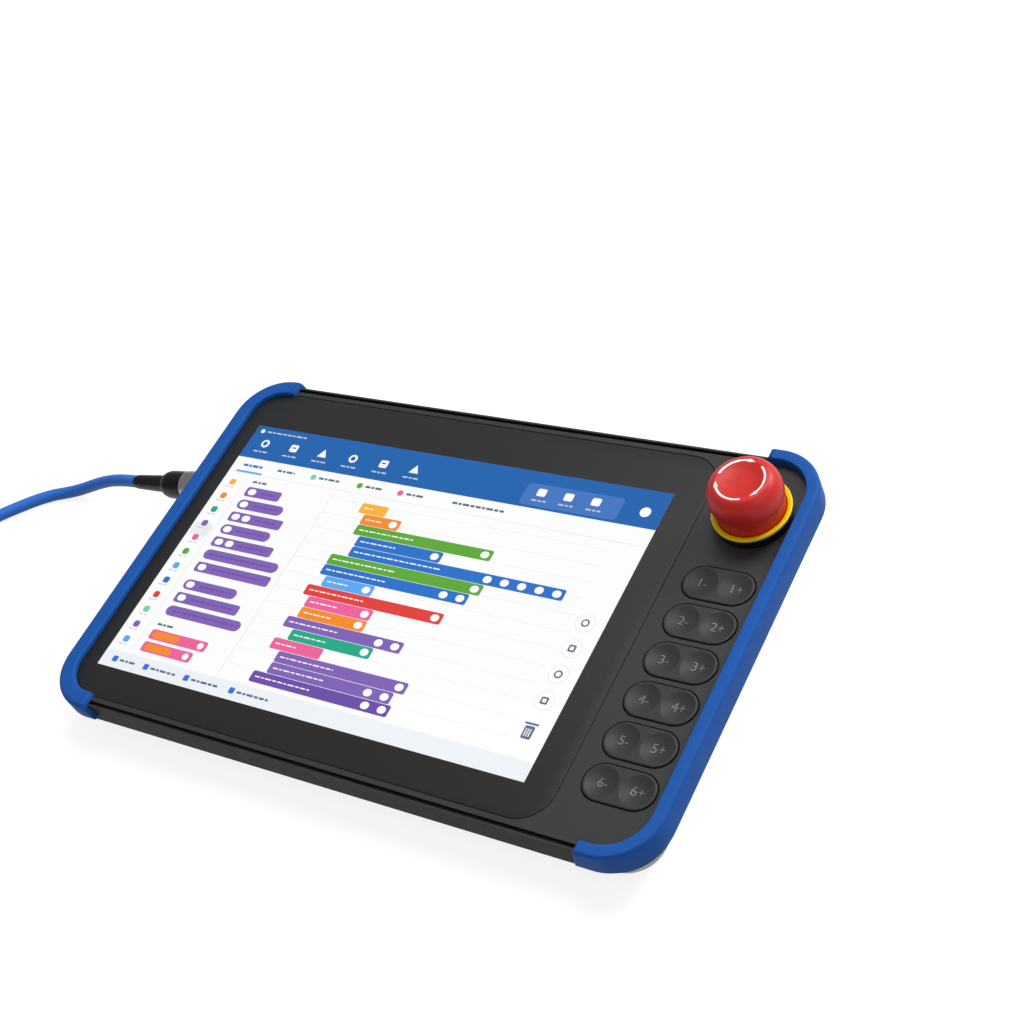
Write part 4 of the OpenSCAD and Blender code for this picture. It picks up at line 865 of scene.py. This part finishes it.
def draw_plan(pic):
    """Plan of coloured steps on faint lines, some with small pills at their ends."""
    for k in range(12):
        pic.bar(62.6, 31.5 + 8.0 * k, 139, 0.2, "line", 2)
    steps = [
        (80, 14, "amber", 0), (84, 20, "orange", 1), (84, 70, "green", 1), (88, 44, "blue", 1),
        (88, 106, "blue", 5), (80, 78, "green", 1), (80, 74, "blue", 2), (84, 26, "sky", 1),
        (78, 70, "red", 1), (82, 34, "pink", 1), (82, 34, "orange", 1), (78, 60, "violet", 2),
        (84, 42, "teal", 1), (78, 26, "pink", 0), (84, 66, "violet", 1), (84, 62, "violet", 2),
        (78, 70, "violet_dark", 2),
    ]
    y = 31.2
    for x, w, colour, pills in steps:
        pic.bar(x, y, w, 5.3, colour, 3, r=0.9)
        pic.words(x + 2.0, y + 2.3, max(4.0, w * 0.42), "paper", 4, h=0.55)
        for j in range(pills):
            px = x + w - 5.4 - 8.2 * j
            if px > x + 3:
                pic.bar(px, y + 1.0, 4.0, 3.3, "white", 4, r=1.65)
        y += 5.55


def draw_edges(pic):
    """Round buttons at the right, a small bin below them, and the page's foot."""
    for k, y in enumerate((66, 78, 90, 102)):
        pic.disc(208.5, y, 4.3, "line", 2, 24)
        pic.disc(208.5, y, 3.9, "white", 3, 24)
        if k % 2:
            pic.bar(206.9, y - 1.6, 3.2, 3.2, "ink", 4, r=0.6)
            pic.bar(207.7, y - 0.8, 1.6, 1.6, "white", 5)
        else:
            pic.disc(208.5, y, 1.8, "ink", 4)
            pic.disc(208.5, y, 1.1, "white", 5)
    pic.bar(205.6, 112, 5.8, 0.8, "ink", 3)
    pic.bar(206.4, 113.4, 4.2, 5.6, "ink", 3, r=0.7)
    for k in range(3):
        pic.bar(207.2 + k, 114.6, 0.4, 3.4, "white", 4)
    pic.bar(0, 127.4, SCREEN_W, 8.2, "bar", 2)
    for x, w in ((6, 9), (24, 14), (47, 15), (72, 17)):
        pic.bar(x, 130.0, 2.8, 2.8, "tab", 3, r=0.5)
        pic.words(x + 4.2, 131.0, w, "ink", 3, h=1.0)


class PENDANT_OT_screen(bpy.types.Operator):
    """Draws the lit picture: a plain planning page with bars, lists and round buttons"""

    bl_idname = "pendant.screen"
    bl_label = "Screen"

    def execute(self, context):
        pic = Picture()
        pic.bar(0, 0, SCREEN_W, SCREEN_H, "paper", 0)
        for draw in (draw_header, draw_tabs, draw_lists, draw_plan, draw_edges):
            draw(pic)
        looks = [lit("Picture " + name.replace("_", " "), PALETTE[name]) for name in pic.names]
        handed(pic.shape.object("screen_picture", looks, sharp=20), "housing", "panel_white")
        return {"FINISHED"}


# ---- bumpers -----------------------------------------------------------------------

END_STEPS = (0, 0.9, 4.4)
END_LAP, END_SHRINK = 0.4, 0.9
CORNER_STEPS = 20
GUARD_RISE = 4


def bumper_path(end):
    """Points of the body's outline round its right side, with outward normals."""
    straight = [end + step for step in END_STEPS]
    pts, outs = [(x, -HALF_H) for x in straight], [(0.0, -1.0)] * 3
    for cy, start in ((-HALF_H + CORNER, -90), (HALF_H - CORNER, 0)):
        for k in range(CORNER_STEPS + 1):
            a = math.radians(start + 90 * k / CORNER_STEPS)
            pts.append((HALF_W - CORNER + CORNER * math.cos(a), cy + CORNER * math.sin(a)))
            outs.append((math.cos(a), math.sin(a)))
    pts += [(x, HALF_H) for x in reversed(straight)]
    outs += [(0.0, 1.0)] * 3
    return pts, outs


def bumper(name, section, end, mirror, slant, drop):
    """Sweeps a section (outwards from the wall, height) round one side of the body."""
    pts, outs = bumper_path(end)
    last = len(pts) - 1

    def ring_at(i, profile):
        """The section at one point of the path, slanted near both ends."""
        (x, y), (out_x, out_y) = pts[i], outs[i]
        ring = np.array([(x + out_x * n, y + out_y * n, z) for n, z in profile])
        if i in (0, 1, last - 1, last):
            ring[:, 0] += slant * (ring[:, 2] + drop) / (drop + GUARD_RISE)
        return ring

    # Each end closes over a full ring and a smaller one past it. On the upper edge that full
    # ring is the one before it, set back by the lap.
    rings = [ring_at(i, section) for i in range(last)]
    rings.append(rings[-1] + [END_LAP, 0, 0])
    rings[0] = rings[0] + [END_LAP, 0, 0]
    middle = np.array(section).mean(0)
    small = middle + (np.array(section) - middle) * END_SHRINK
    rings = [ring_at(0, small)] + rings + [ring_at(last, small)]
    if mirror:
        rings = [r * np.array([-1, 1, 1]) for r in rings]
    return Shape().rings(rings).object(name, [LOOK["bumper"]], sharp=50)


class PENDANT_OT_bumpers(bpy.types.Operator):
    """Wraps the two rubber bumpers round the body's sides"""

    bl_idname = "pendant.bumpers"
    bl_label = "Bumpers"

    def execute(self, context):
        sizes = context.scene.pendant_sizes
        out, drop, slant = sizes.bumper_out / MM, sizes.bumper_drop / MM, sizes.bumper_slant / MM
        right = soften([(0.02, -drop), (out, -drop), (out, 3.0), (out - 0.7, 4.0), (-3.0, 4.0),
                        (-3.0, 0.02), (0.02, 0.02)], [0, 0.7, 0.6, 0.5, 0.5, 0, 0], 4)
        left = soften([(0.02, -drop), (out, -drop), (out, 2.2), (-5.6, 2.2), (-5.6, 0.02), (0.02, 0.02)],
                      [0, 0.7, 2.4, 1.8, 0, 0], 7)
        for node, section, end in (("bumper_right", right, 116.8), ("bumper_left", left, 119.0)):
            rubber = bumper(node + "_rubber", section, end, node == "bumper_left", slant, drop)
            handed(rubber, "housing", "bumper_blue", node)
        return {"FINISHED"}


# ---- jog keys ----------------------------------------------------------------------

KEY_L, KEY_W, KEY_TOP, KEY_FOOT = 29.2, 15.0, 0.5, -4.5
KEY_ROUND, KEY_ROUND_STEPS = 0.35, 4
DISH_STEPS = (0.2, 0.4, 0.6, 0.75, 0.88, 0.96)
RIM_IN, RIM_OUT, RIM_DROP = 0.995, 1.012, 0.05
DISH_SIDES, KEY_SIDES = 64, 32
NUMERAL_SCALE, NUMERAL_THICK, NUMERAL_BEVEL, NUMERAL_RISE = 1.35, 0.11, 0.02, 0.06


def dish_ball(depth, width):
    """Radius of the ball that hollows a dish."""
    return ((width / 2) ** 2 + depth ** 2) / (2 * depth)


def dish_floor(depth, width, away):
    """Height of a dish at a distance from its middle."""
    ball = dish_ball(depth, width)
    return KEY_TOP + ball - depth - np.sqrt(ball * ball - away ** 2)


def key_cap(x0, y0, depth, width, shape):
    """Jog key with two dishes: rings round each dish run out to the key's own outline."""
    across, dish, rim = KEY_W / 2, KEY_L / 2 - KEY_W / 2, width / 2
    corner = math.atan2(across, dish)
    angles = [2 * math.pi * k / DISH_SIDES for k in range(DISH_SIDES)]
    angles = sorted(angles + [corner, 2 * math.pi - corner])
    levels = [(rim * f, float(dish_floor(depth, width, rim * f))) for f in DISH_STEPS]
    levels += [(rim * RIM_IN, KEY_TOP - RIM_DROP), (rim * RIM_OUT, KEY_TOP)]
    rings = [[(r * math.cos(a), r * math.sin(a), z) for a in angles] for r, z in levels]
    edge = []
    for a in angles:
        c, s = math.cos(a), math.sin(a)
        reach = across - KEY_ROUND
        if c > TINY:
            reach = min(dish / c, reach / max(abs(s), TINY))
        edge.append((reach * c, reach * s, KEY_TOP))
    rings.append(edge)
    pts, faces, m = [], [], len(angles)
    for side in (-1, 1):
        base = len(pts)
        pts.append((side * dish, 0, KEY_TOP - depth))
        for ring in rings:
            pts += [(side * dish - side * x, y, z) for x, y, z in ring]
        for k in range(m):
            j = (k + 1) % m
            faces.append([base, base + 1 + k, base + 1 + j])
            for i in range(len(rings) - 1):
                a, b = base + 1 + i * m, base + 1 + (i + 1) * m
                faces.append([a + k, b + k, b + j, a + j])
    shape.add(np.array(pts) + [x0, y0, 0], faces)
    top = round_rect(KEY_L - 2 * KEY_ROUND, KEY_W - 2 * KEY_ROUND, KEY_W / 2, KEY_SIDES)
    walls = [at_height(top, KEY_TOP)]
    for k in range(1, KEY_ROUND_STEPS + 1):
        a = math.pi / 2 * k / KEY_ROUND_STEPS
        low = KEY_TOP - KEY_ROUND * (1 - math.cos(a))
        walls.append(at_height(shrunk(top, -KEY_ROUND * math.sin(a)), low))
    walls.append(at_height(shrunk(top, -KEY_ROUND), KEY_FOOT))
    n, last = len(top), (len(walls) - 1) * len(top)
    foot = [last + k for k in range(n)]
    shape.add(np.vstack(walls) + [x0, y0, 0], bands(n, len(walls)) + [foot])


def numeral(text, height, depth, width):
    """Raised text that lies in a dish, as points and faces."""
    curve = bpy.data.curves.new("numeral", "FONT")
    curve.body, curve.size, curve.extrude = text, height * NUMERAL_SCALE, NUMERAL_THICK
    curve.bevel_depth, curve.resolution_u = NUMERAL_BEVEL, 3
    curve.align_x, curve.align_y = "CENTER", "CENTER"
    obj = placed("numeral", curve)
    graph = bpy.context.evaluated_depsgraph_get()
    mesh = bpy.data.meshes.new_from_object(obj.evaluated_get(graph), depsgraph=graph)
    bpy.data.objects.remove(obj)
    bpy.data.curves.remove(curve)
    pts = np.array([v.co for v in mesh.vertices])
    faces = [list(p.vertices) for p in mesh.polygons]
    bpy.data.meshes.remove(mesh)
    away = np.minimum(np.hypot(pts[:, 0], pts[:, 1]), width / 2)
    pts[:, 2] += dish_floor(depth, width, away) + NUMERAL_RISE
    return pts, faces


class PENDANT_OT_jog_keys(bpy.types.Operator):
    """Shapes the six jog keys with their dishes and raised numerals"""

    bl_idname = "pendant.jog_keys"
    bl_label = "Jog keys"

    def execute(self, context):
        sizes = context.scene.pendant_sizes
        depth, width = sizes.dish_depth / MM, sizes.dish_width / MM
        high = sizes.numeral_height / MM
        for k, y in enumerate(KEY_YS):
            node = f"jog_key_{k + 1}"
            shape = Shape()
            key_cap(KEY_X, y, depth, width, shape)
            cap = shape.object(node + "_cap", [LOOK["key"]], sharp=13, weld=2e-5)
            handed(cap, node, "key_grey", node)
            marks = Shape()
            for side, sign in ((-1, "-"), (1, "+")):
                pts, faces = numeral(f"{k + 1}{sign}", high, depth, width)
                marks.add(pts + [KEY_X + side * (KEY_L - KEY_W) / 2, y, 0], faces)
            handed(marks.object(node + "_numerals", [LOOK["numeral"]], sharp=40), node, "key_grey")
        return {"FINISHED"}


# ---- emergency stop ----------------------------------------------------------------

HEAD = [(0, 21.6), (2.6, 21.62), (5.8, 21.9), (8.6, 22.55), (10.0, 22.78), (11.2, 22.5), (12.5, 21.45),
        (13.7, 19.8), (14.45, 17.7), (14.8, 15.2), (14.72, 13.0), (14.25, 10.8), (13.65, 8.9)]
HEAD_STEPS, HEAD_TOP = 6, 40
ARROW_STARTS, ARROW_SWEEP, ARROW_TIP, ARROW_STEPS = (172, 52, -68), 98, 17, 26
BARB_BACK, BARB_MID, BARB_MID_SHARE = 1.5, 6, 0.65
PRINT_LOW, PRINT_HIGH = 0.2, 0.05


def head_height(r):
    """Height of the stop button's top at a radius."""
    line = flowing(HEAD, HEAD_STEPS)
    return float(np.interp(r, line[:HEAD_TOP, 0], line[:HEAD_TOP, 1]))


def arrow(shape, start, radius, width):
    """Curved arrow on the head's top, clockwise from a start angle in degrees."""
    neck, steps = ARROW_SWEEP - ARROW_TIP, ARROW_STEPS
    turns = [neck * k / steps for k in range(steps + 1)]
    outer = [(a, radius + width / 2) for a in turns]
    inner = [(a, radius - width / 2) for a in turns]
    back, mid, part = neck - BARB_BACK, neck + BARB_MID, width * BARB_MID_SHARE
    point = [(back, radius + width), (mid, radius + part), (ARROW_SWEEP, radius),
             (mid, radius - part), (back, radius - width)]
    flat = []
    for a, r in outer + point + inner[::-1]:
        t = math.radians(start - a)
        flat.append((r * math.cos(t), r * math.sin(t), head_height(r)))
    low = [(x, y, z - PRINT_LOW) for x, y, z in flat]
    high = [(x, y, z + PRINT_HIGH) for x, y, z in flat]
    n, faces = len(flat), []
    for a in range(steps):
        b = n - 1 - a
        faces += [[n + a, n + a + 1, n + b - 1, n + b], [a, b, b - 1, a + 1]]
    tip = list(range(steps, steps + len(point) + 2))
    faces += [[n + i for i in tip], tip[::-1]]
    for k in range(n):
        j = (k + 1) % n
        faces.append([k, j, n + j, n + k])
    shape.add(np.array(low + high) + [STOP_X, STOP_Y, 0], faces)


class PENDANT_OT_emergency_stop(bpy.types.Operator):
    """Shapes the stop button's head with its arrows, its ring and its collar"""

    bl_idname = "pendant.emergency_stop"
    bl_label = "Emergency stop"

    def execute(self, context):
        sizes = context.scene.pendant_sizes
        place = Matrix.Translation((STOP_X, STOP_Y, 0))
        skirt = soften([(13.65, 8.9), (13.6, 8.3), (13.6, 4.6), (11.8, 4.6), (11.8, 11.6)],
                       [0, 0.3, 0.4, 0, 0], 4, False)
        hollow = [(6.5, 11.6), (6.5, 6.6), (4.05, 6.6), (4.05, 17.9), (0, 17.9)]
        profile = list(flowing(HEAD, HEAD_STEPS)) + list(skirt[1:]) + hollow
        head = Shape().lathe(profile, place, 96)
        handed(head.object("stop_head_cap", [LOOK["stop"]], sharp=50), "stop_head", "stop_red", "stop_head")
        arrows = Shape()
        for start in ARROW_STARTS:
            arrow(arrows, start, sizes.arrow_radius / MM, sizes.arrow_width / MM)
        handed(arrows.object("stop_arrows", [LOOK["mark"]], sharp=40), "stop_head", "stop_red")
        ring = soften([(13.9, 4.2), (15.5, 4.2), (15.9, 4.7), (15.9, 5.6), (15.6, 5.8), (13.9, 5.3)],
                      [0, 0.2, 0.3, 0.2, 0.2, 0.2], 4)
        band = Shape().lathe(ring, place, 96).object("stop_ring_band", [LOOK["ring"]], sharp=45)
        handed(band, "housing", "stop_yellow", "stop_ring")
        # The collar's black carries a painted red reflection of the head above it.
        dressed("stop_barrel", LOOK["gloss"], "black_gloss", sharp=40)
        finish_node("stop_stem", LOOK["black"])
        finish_node("stop_nut", LOOK["black"])
        finish_node("stop_contacts", LOOK["switch"])
        return {"FINISHED"}


# ---- enabling switch and top controls ----------------------------------------------


class PENDANT_OT_enabling_switch(bpy.types.Operator):
    """Dresses the enabling switch in the slanted wall of the grip"""

    bl_idname = "pendant.enabling_switch"
    bl_label = "Enabling switch"

    def execute(self, context):
        dressed("enabling_bezel", LOOK["black"], "black_matte", edge=0.5)
        dressed("enabling_paddle", LOOK["rubber"], "black_matte", body="enabling_paddle", edge=0.8)
        finish_node("enabling_switch", LOOK["switch"])
        return {"FINISHED"}


class PENDANT_OT_top_controls(bpy.types.Operator):
    """Dresses the power button and the covered port in the top wall"""

    bl_idname = "pendant.top_controls"
    bl_label = "Top controls"

    def execute(self, context):
        dressed("power_button", LOOK["key"], "key_grey", body="power_button", edge=0.25)
        dressed("port_cover", LOOK["rubber"], "black_matte", body="port_cover", edge=0.15)
        finish_node("power_switch", LOOK["switch"])
        finish_node("port_pin", LOOK["steel"])
        finish_node("usb_socket", LOOK["steel"])
        return {"FINISHED"}


# ---- hand strap --------------------------------------------------------------------

STRAP_Y, STRAP_HALF, STRAP_W = -29.8, 117.65, 21.3
STRAP_FACE, STRAP_BACK = -23.5, -21.75
STRAP_ACROSS, STRAP_ALONG = 17, 120
CROWN_END, CROWN_MORE, CROWN_RUN = 0.25, 0.55, 10
SEAM_AT, SEAM_WIDTH, SEAM_DEPTH = 0.84, 0.05, 0.16
RIPPLE, RIPPLE_RATE = 0.05, 0.35


def strap_pad():
    """Webbing pad between its end plates, softly crowned on its outer face."""
    shares = [-1 + 2 * k / (STRAP_ACROSS - 1) for k in range(STRAP_ACROSS)]
    rings = []
    for i in range(STRAP_ALONG + 1):
        x = -STRAP_HALF + 2 * STRAP_HALF * i / STRAP_ALONG
        high = CROWN_END + CROWN_MORE * ease(min(1.0, (STRAP_HALF - abs(x)) / CROWN_RUN))
        ring = []
        for t in shares:
            crown = (1 - abs(t) ** 4) * high
            seam = SEAM_DEPTH * math.exp(-((abs(t) - SEAM_AT) / SEAM_WIDTH) ** 2)
            face = STRAP_FACE - crown + seam + RIPPLE * math.sin(x * RIPPLE_RATE)
            ring.append((x, STRAP_Y + t * STRAP_W / 2, face))
        ring += [(x, STRAP_Y + t * STRAP_W / 2, STRAP_BACK) for t in reversed(shares)]
        rings.append(np.array(ring))
    return rings


def stitch_wires():
    """Wires that the stitches follow: along both edges and across both ends."""
    wires = []
    for t in (-SEAM_AT, SEAM_AT):
        wires.append([(x, STRAP_Y + t * STRAP_W / 2, -24.1) for x in np.linspace(-116, 116, 60)])
    for x in (-112.5, 112.5):
        wires.append([(x, y, -24.2) for y in np.linspace(STRAP_Y - 8.2, STRAP_Y + 8.2, 8)])
    points, edges = [], []
    for wire in wires:
        start = len(points)
        points += laid(wire).tolist()
        edges += [(start + i, start + i + 1) for i in range(len(wire) - 1)]
    return points, edges


class PENDANT_OT_hand_strap(bpy.types.Operator):
    """Makes the padded hand strap with its stitches, end plates and screws"""

    bl_idname = "pendant.hand_strap"
    bl_label = "Hand strap"

    def execute(self, context):
        sizes = context.scene.pendant_sizes
        pad = Shape().rings(strap_pad()).object("hand_strap_pad", [LOOK["strap"]], sharp=60)
        handed(pad, "housing", "strap_fabric", "hand_strap")
        stitches = baked(
            "hand_strap_stitches", stitch_tree(LOOK["thread"]),
            {"Pitch": sizes.stitch_pitch, "Length": sizes.stitch_length, "Thickness": 0.0007},
            *stitch_wires())
        handed(stitches, "housing", "strap_fabric")
        dressed("strap_plates", LOOK["plate"], "plate_grey", edge=0.35)
        head = Shape()
        dome = [(0, 1.3), (1.08, 1.2), (1.92, 0.9), (2.3, 0.55), (2.4, 0.3), (2.4, -0.6), (0, -0.6)]
        head.lathe(dome, Matrix.Identity(4), 32)
        source = head.object("screw_pattern", [LOOK["steel"]], flat=False, sharp=40)
        spots = laid([(m * 124.0, STRAP_Y + y, -23.8) for m in (-1, 1) for y in (-4, 4)]).tolist()
        heads = baked("strap_screw_heads", copies_tree(LOOK["steel"]),
                      {"Piece": source, "Turn": (TILT + math.pi, 0, 0)}, spots)
        handed(heads, "housing", "steel", "strap_screws")
        bpy.data.objects.remove(source)
        return {"FINISHED"}


# ---- connector ---------------------------------------------------------------------

PLUG_END, PLUG_TILT = (-143.5, 46.4, -27.7), 8.0
RIB_MIDDLE = 7.9


def plug_frame():
    """Matrix of the connector's axis, Z away from the body."""
    a = math.radians(-90 - PLUG_TILT)
    return Matrix.Translation(PLUG_END) @ Matrix.Rotation(a, 4, "Y")


def turned_piece(name, node, slot, look, profile, radii, steps, turns, sharp):
    """One turned piece of the connector, on its axis."""
    shape = Shape().lathe(soften(profile, radii, steps, False), plug_frame(), turns)
    handed(shape.object(name, [LOOK[look]], sharp=sharp), "housing", slot, node)


class PENDANT_OT_connector(bpy.types.Operator):
    """Turns the cable's connector: socket ring, ribbed coupling nut, grip and strain relief"""

    bl_idname = "pendant.connector"
    bl_label = "Connector"

    def execute(self, context):
        dressed("cable_socket", LOOK["brass"], "socket_brass", sharp=40)
        nut = [(0, -7.8), (6.4, -7.8), (6.4, 1.3), (8.6, 1.3), (8.95, 1.7), (8.95, 3.2), (8.5, 3.6),
               (8.5, 12.2), (8.95, 12.6), (8.95, 13.9), (8.6, 14.3), (7.4, 14.3), (7.4, 20.0),
               (7.1, 20.4), (7.1, 21.6), (7.4, 22.0), (7.4, 37.8), (7.2, 38.6), (6.6, 39.0), (0, 39.0)]
        turned_piece("plug_coupling_body", "plug_coupling", "plug_metal", "nickel", nut,
                     [0, 0] + [0.25] * 17 + [0], 3, 64, 40)
        ribs = baked("plug_coupling_ribs", rib_tree(LOOK["nickel"]),
                     {"Count": context.scene.pendant_sizes.rib_count, "Radius": 0.00845,
                      "Width": 0.0010, "Length": 0.0082}, [(0, 0, 0)])
        seat = np.array([v.co for v in ribs.data.vertices]) / MM + [0, 0, RIB_MIDDLE]
        spots = laid(turned(seat, plug_frame())).astype(np.float32)
        ribs.data.vertices.foreach_set("co", spots.ravel())
        handed(ribs, "housing", "plug_metal")
        grip = [(0, 39.02), (6.5, 39.02), (6.9, 40.0), (6.95, 46.6), (6.8, 50.8), (6.0, 53.4), (4.6, 54.0),
                (0, 54.0)]
        turned_piece("plug_grip_shell", "plug_grip", "black_matte", "rubber", grip,
                     [0, 0.3, 0.4, 1.5, 2.5, 1.6, 0.5, 0], 6, 48, 45)
        relief = [(0, 54.02), (4.45, 54.02), (4.3, 55.6), (3.7, 72.0), (3.5, 76.4), (3.2, 77.6), (0, 77.6)]
        turned_piece("plug_relief_sleeve", "plug_relief", "black_matte", "rubber", relief,
                     [0, 0.3, 0.6, 4, 0.8, 0.5, 0], 5, 40, 45)
        return {"FINISHED"}


# ---- stage -------------------------------------------------------------------------


CAMERA_AT, CAMERA_LENS, CAMERA_SENSOR = (0.4096368, -0.4088152, 0.4649852), 62.2244, 36
CAMERA_RIGHT = (0.830114, 0.51059, -0.224072)
CAMERA_DOWN = (0.151127, -0.592837, -0.791015)
CAMERA_AHEAD = (-0.536723, 0.622769, -0.569286)
LAMP_AIM = (0, 0, 0.04)
FLOOR_HALF, FLOOR_GREY, FLOOR_GLOW = 8, 0.32, 0.82
WHITE = (1, 1, 1, 1)


def lamp(name, energy, size, at):
    """Soft area lamp that points at the pendant."""
    data = bpy.data.lights.new(name, "AREA")
    data.energy, data.size = energy, size
    obj = placed(name, data)
    obj.location = at
    obj.rotation_euler = (Vector(LAMP_AIM) - Vector(at)).to_track_quat("-Z", "Y").to_euler()


def seen_white(tree):
    """Socket that is 1 for what the eye, gloss and glass see."""
    path = knot(tree, "ShaderNodeLightPath")
    total = path.outputs["Is Camera Ray"]
    for ray in ("Is Glossy Ray", "Is Transmission Ray"):
        both = knot(tree, "ShaderNodeMath", operation="MAXIMUM")
        tree.links.new(total, both.inputs[0])
        tree.links.new(path.outputs[ray], both.inputs[1])
        total = both.outputs["Value"]
    return total


def floor_look():
    """Pale floor that keeps its shadow: a grey face, and a glow that only the eye and gloss see."""
    mat, tree, shader = blank("Floor")
    tree.nodes.remove(shader)
    link = tree.links.new
    plain = knot(tree, "ShaderNodeBsdfDiffuse")
    plain.inputs["Color"].default_value = (FLOOR_GREY, FLOOR_GREY, FLOOR_GREY, 1)
    glow = knot(tree, "ShaderNodeEmission")
    glow.inputs["Color"].default_value = WHITE
    scale = knot(tree, "ShaderNodeMath", operation="MULTIPLY")
    scale.inputs[1].default_value = FLOOR_GLOW
    link(seen_white(tree), scale.inputs[0])
    link(scale.outputs["Value"], glow.inputs["Strength"])
    both = knot(tree, "ShaderNodeAddShader")
    link(plain.outputs["BSDF"], both.inputs[0])
    link(glow.outputs["Emission"], both.inputs[1])
    link(both.outputs["Shader"], tree.nodes["Material Output"].inputs["Surface"])
    return mat


def pale_world():
    """World that lights softly in grey and shows white to the eye."""
    world = bpy.data.worlds.new("world")
    world.use_nodes = True
    tree = world.node_tree
    mix = knot(tree, "ShaderNodeMix", data_type="RGBA")
    mix.inputs["A"].default_value = (0.36, 0.36, 0.37, 1)
    mix.inputs["B"].default_value = WHITE
    path = knot(tree, "ShaderNodeLightPath")
    tree.links.new(path.outputs["Is Camera Ray"], mix.inputs["Factor"])
    tree.links.new(mix.outputs["Result"], tree.nodes["Background"].inputs["Color"])
    return world


class PENDANT_OT_stage(bpy.types.Operator):
    """Sets the camera, the floor, the lamps and the world"""

    bl_idname = "pendant.stage"
    bl_label = "Stage"

    def execute(self, context):
        scene = context.scene
        data = bpy.data.cameras.new("camera")
        data.lens, data.sensor_width = CAMERA_LENS, CAMERA_SENSOR
        camera = placed("camera", data)
        turn = Matrix([[r, -d, -a] for r, d, a in zip(CAMERA_RIGHT, CAMERA_DOWN, CAMERA_AHEAD)]).to_4x4()
        camera.matrix_world = Matrix.Translation(CAMERA_AT) @ turn
        data.clip_start, data.clip_end = 0.01, 50
        scene.camera = camera
        scene.view_settings.view_transform = "Standard"
        mesh = bpy.data.meshes.new("floor")
        corners = [(FLOOR_HALF * x, FLOOR_HALF * y, 0) for x, y in ((-1, -1), (1, -1), (1, 1), (-1, 1))]
        mesh.from_pydata(corners, [], [(0, 1, 2, 3)])
        mesh.materials.append(floor_look())
        floor = placed("floor", mesh)
        scene.world = pale_world()
        lamp("lamp_top", 13, 0.8, (0.1, 0.45, 1.8))
        lamp("lamp_back", 17, 0.6, (0.85, 1.1, 1.15))
        lamp("lamp_right", 3, 1.0, (1.5, -0.6, 1.0))
        return {"FINISHED"}


class PENDANT_PT_pieces(bpy.types.Panel):
    """Lists the pendant's pieces"""

    bl_label = "Teach pendant"
    bl_space_type = "VIEW_3D"
    bl_region_type = "UI"
    bl_category = "Pendant"

    def draw(self, context):
        column = self.layout.column()
        for group in (context.scene.pendant_sizes, context.scene.pendant_colours):
            for key in group.__annotations__:
                column.prop(group, key)
        for piece in OPERATORS:
            column.operator(piece.bl_idname)


OPERATORS = [
    PENDANT_OT_stage, PENDANT_OT_cable, PENDANT_OT_housing, PENDANT_OT_screen, PENDANT_OT_bumpers,
    PENDANT_OT_jog_keys, PENDANT_OT_emergency_stop, PENDANT_OT_enabling_switch, PENDANT_OT_top_controls,
    PENDANT_OT_hand_strap, PENDANT_OT_connector,
]
GROUPS = [PendantSizes, PendantColours]


def register():
    """Registers the classes and hangs the sizes and colours on the scene."""
    for kind in GROUPS + OPERATORS + [PENDANT_PT_pieces]:
        bpy.utils.register_class(kind)
    bpy.types.Scene.pendant_sizes = PointerProperty(type=PendantSizes)
    bpy.types.Scene.pendant_colours = PointerProperty(type=PendantColours)


def unregister():
    """Takes away what register adds."""
    del bpy.types.Scene.pendant_colours
    del bpy.types.Scene.pendant_sizes
    for kind in reversed(GROUPS + OPERATORS + [PENDANT_PT_pieces]):
        bpy.utils.unregister_class(kind)


def main():
    """Makes the pendant piece by piece."""
    register()
    LOOK.update(finishes(bpy.context.scene.pendant_colours))
    bpy.ops.pendant.stage()
    bpy.ops.pendant.cable()
    bpy.ops.pendant.housing()
    bpy.ops.pendant.screen()
    bpy.ops.pendant.bumpers()
    bpy.ops.pendant.jog_keys()
    bpy.ops.pendant.emergency_stop()
    bpy.ops.pendant.enabling_switch()
    bpy.ops.pendant.top_controls()
    bpy.ops.pendant.hand_strap()
    bpy.ops.pendant.connector()


if __name__ == "__main__":
    main()
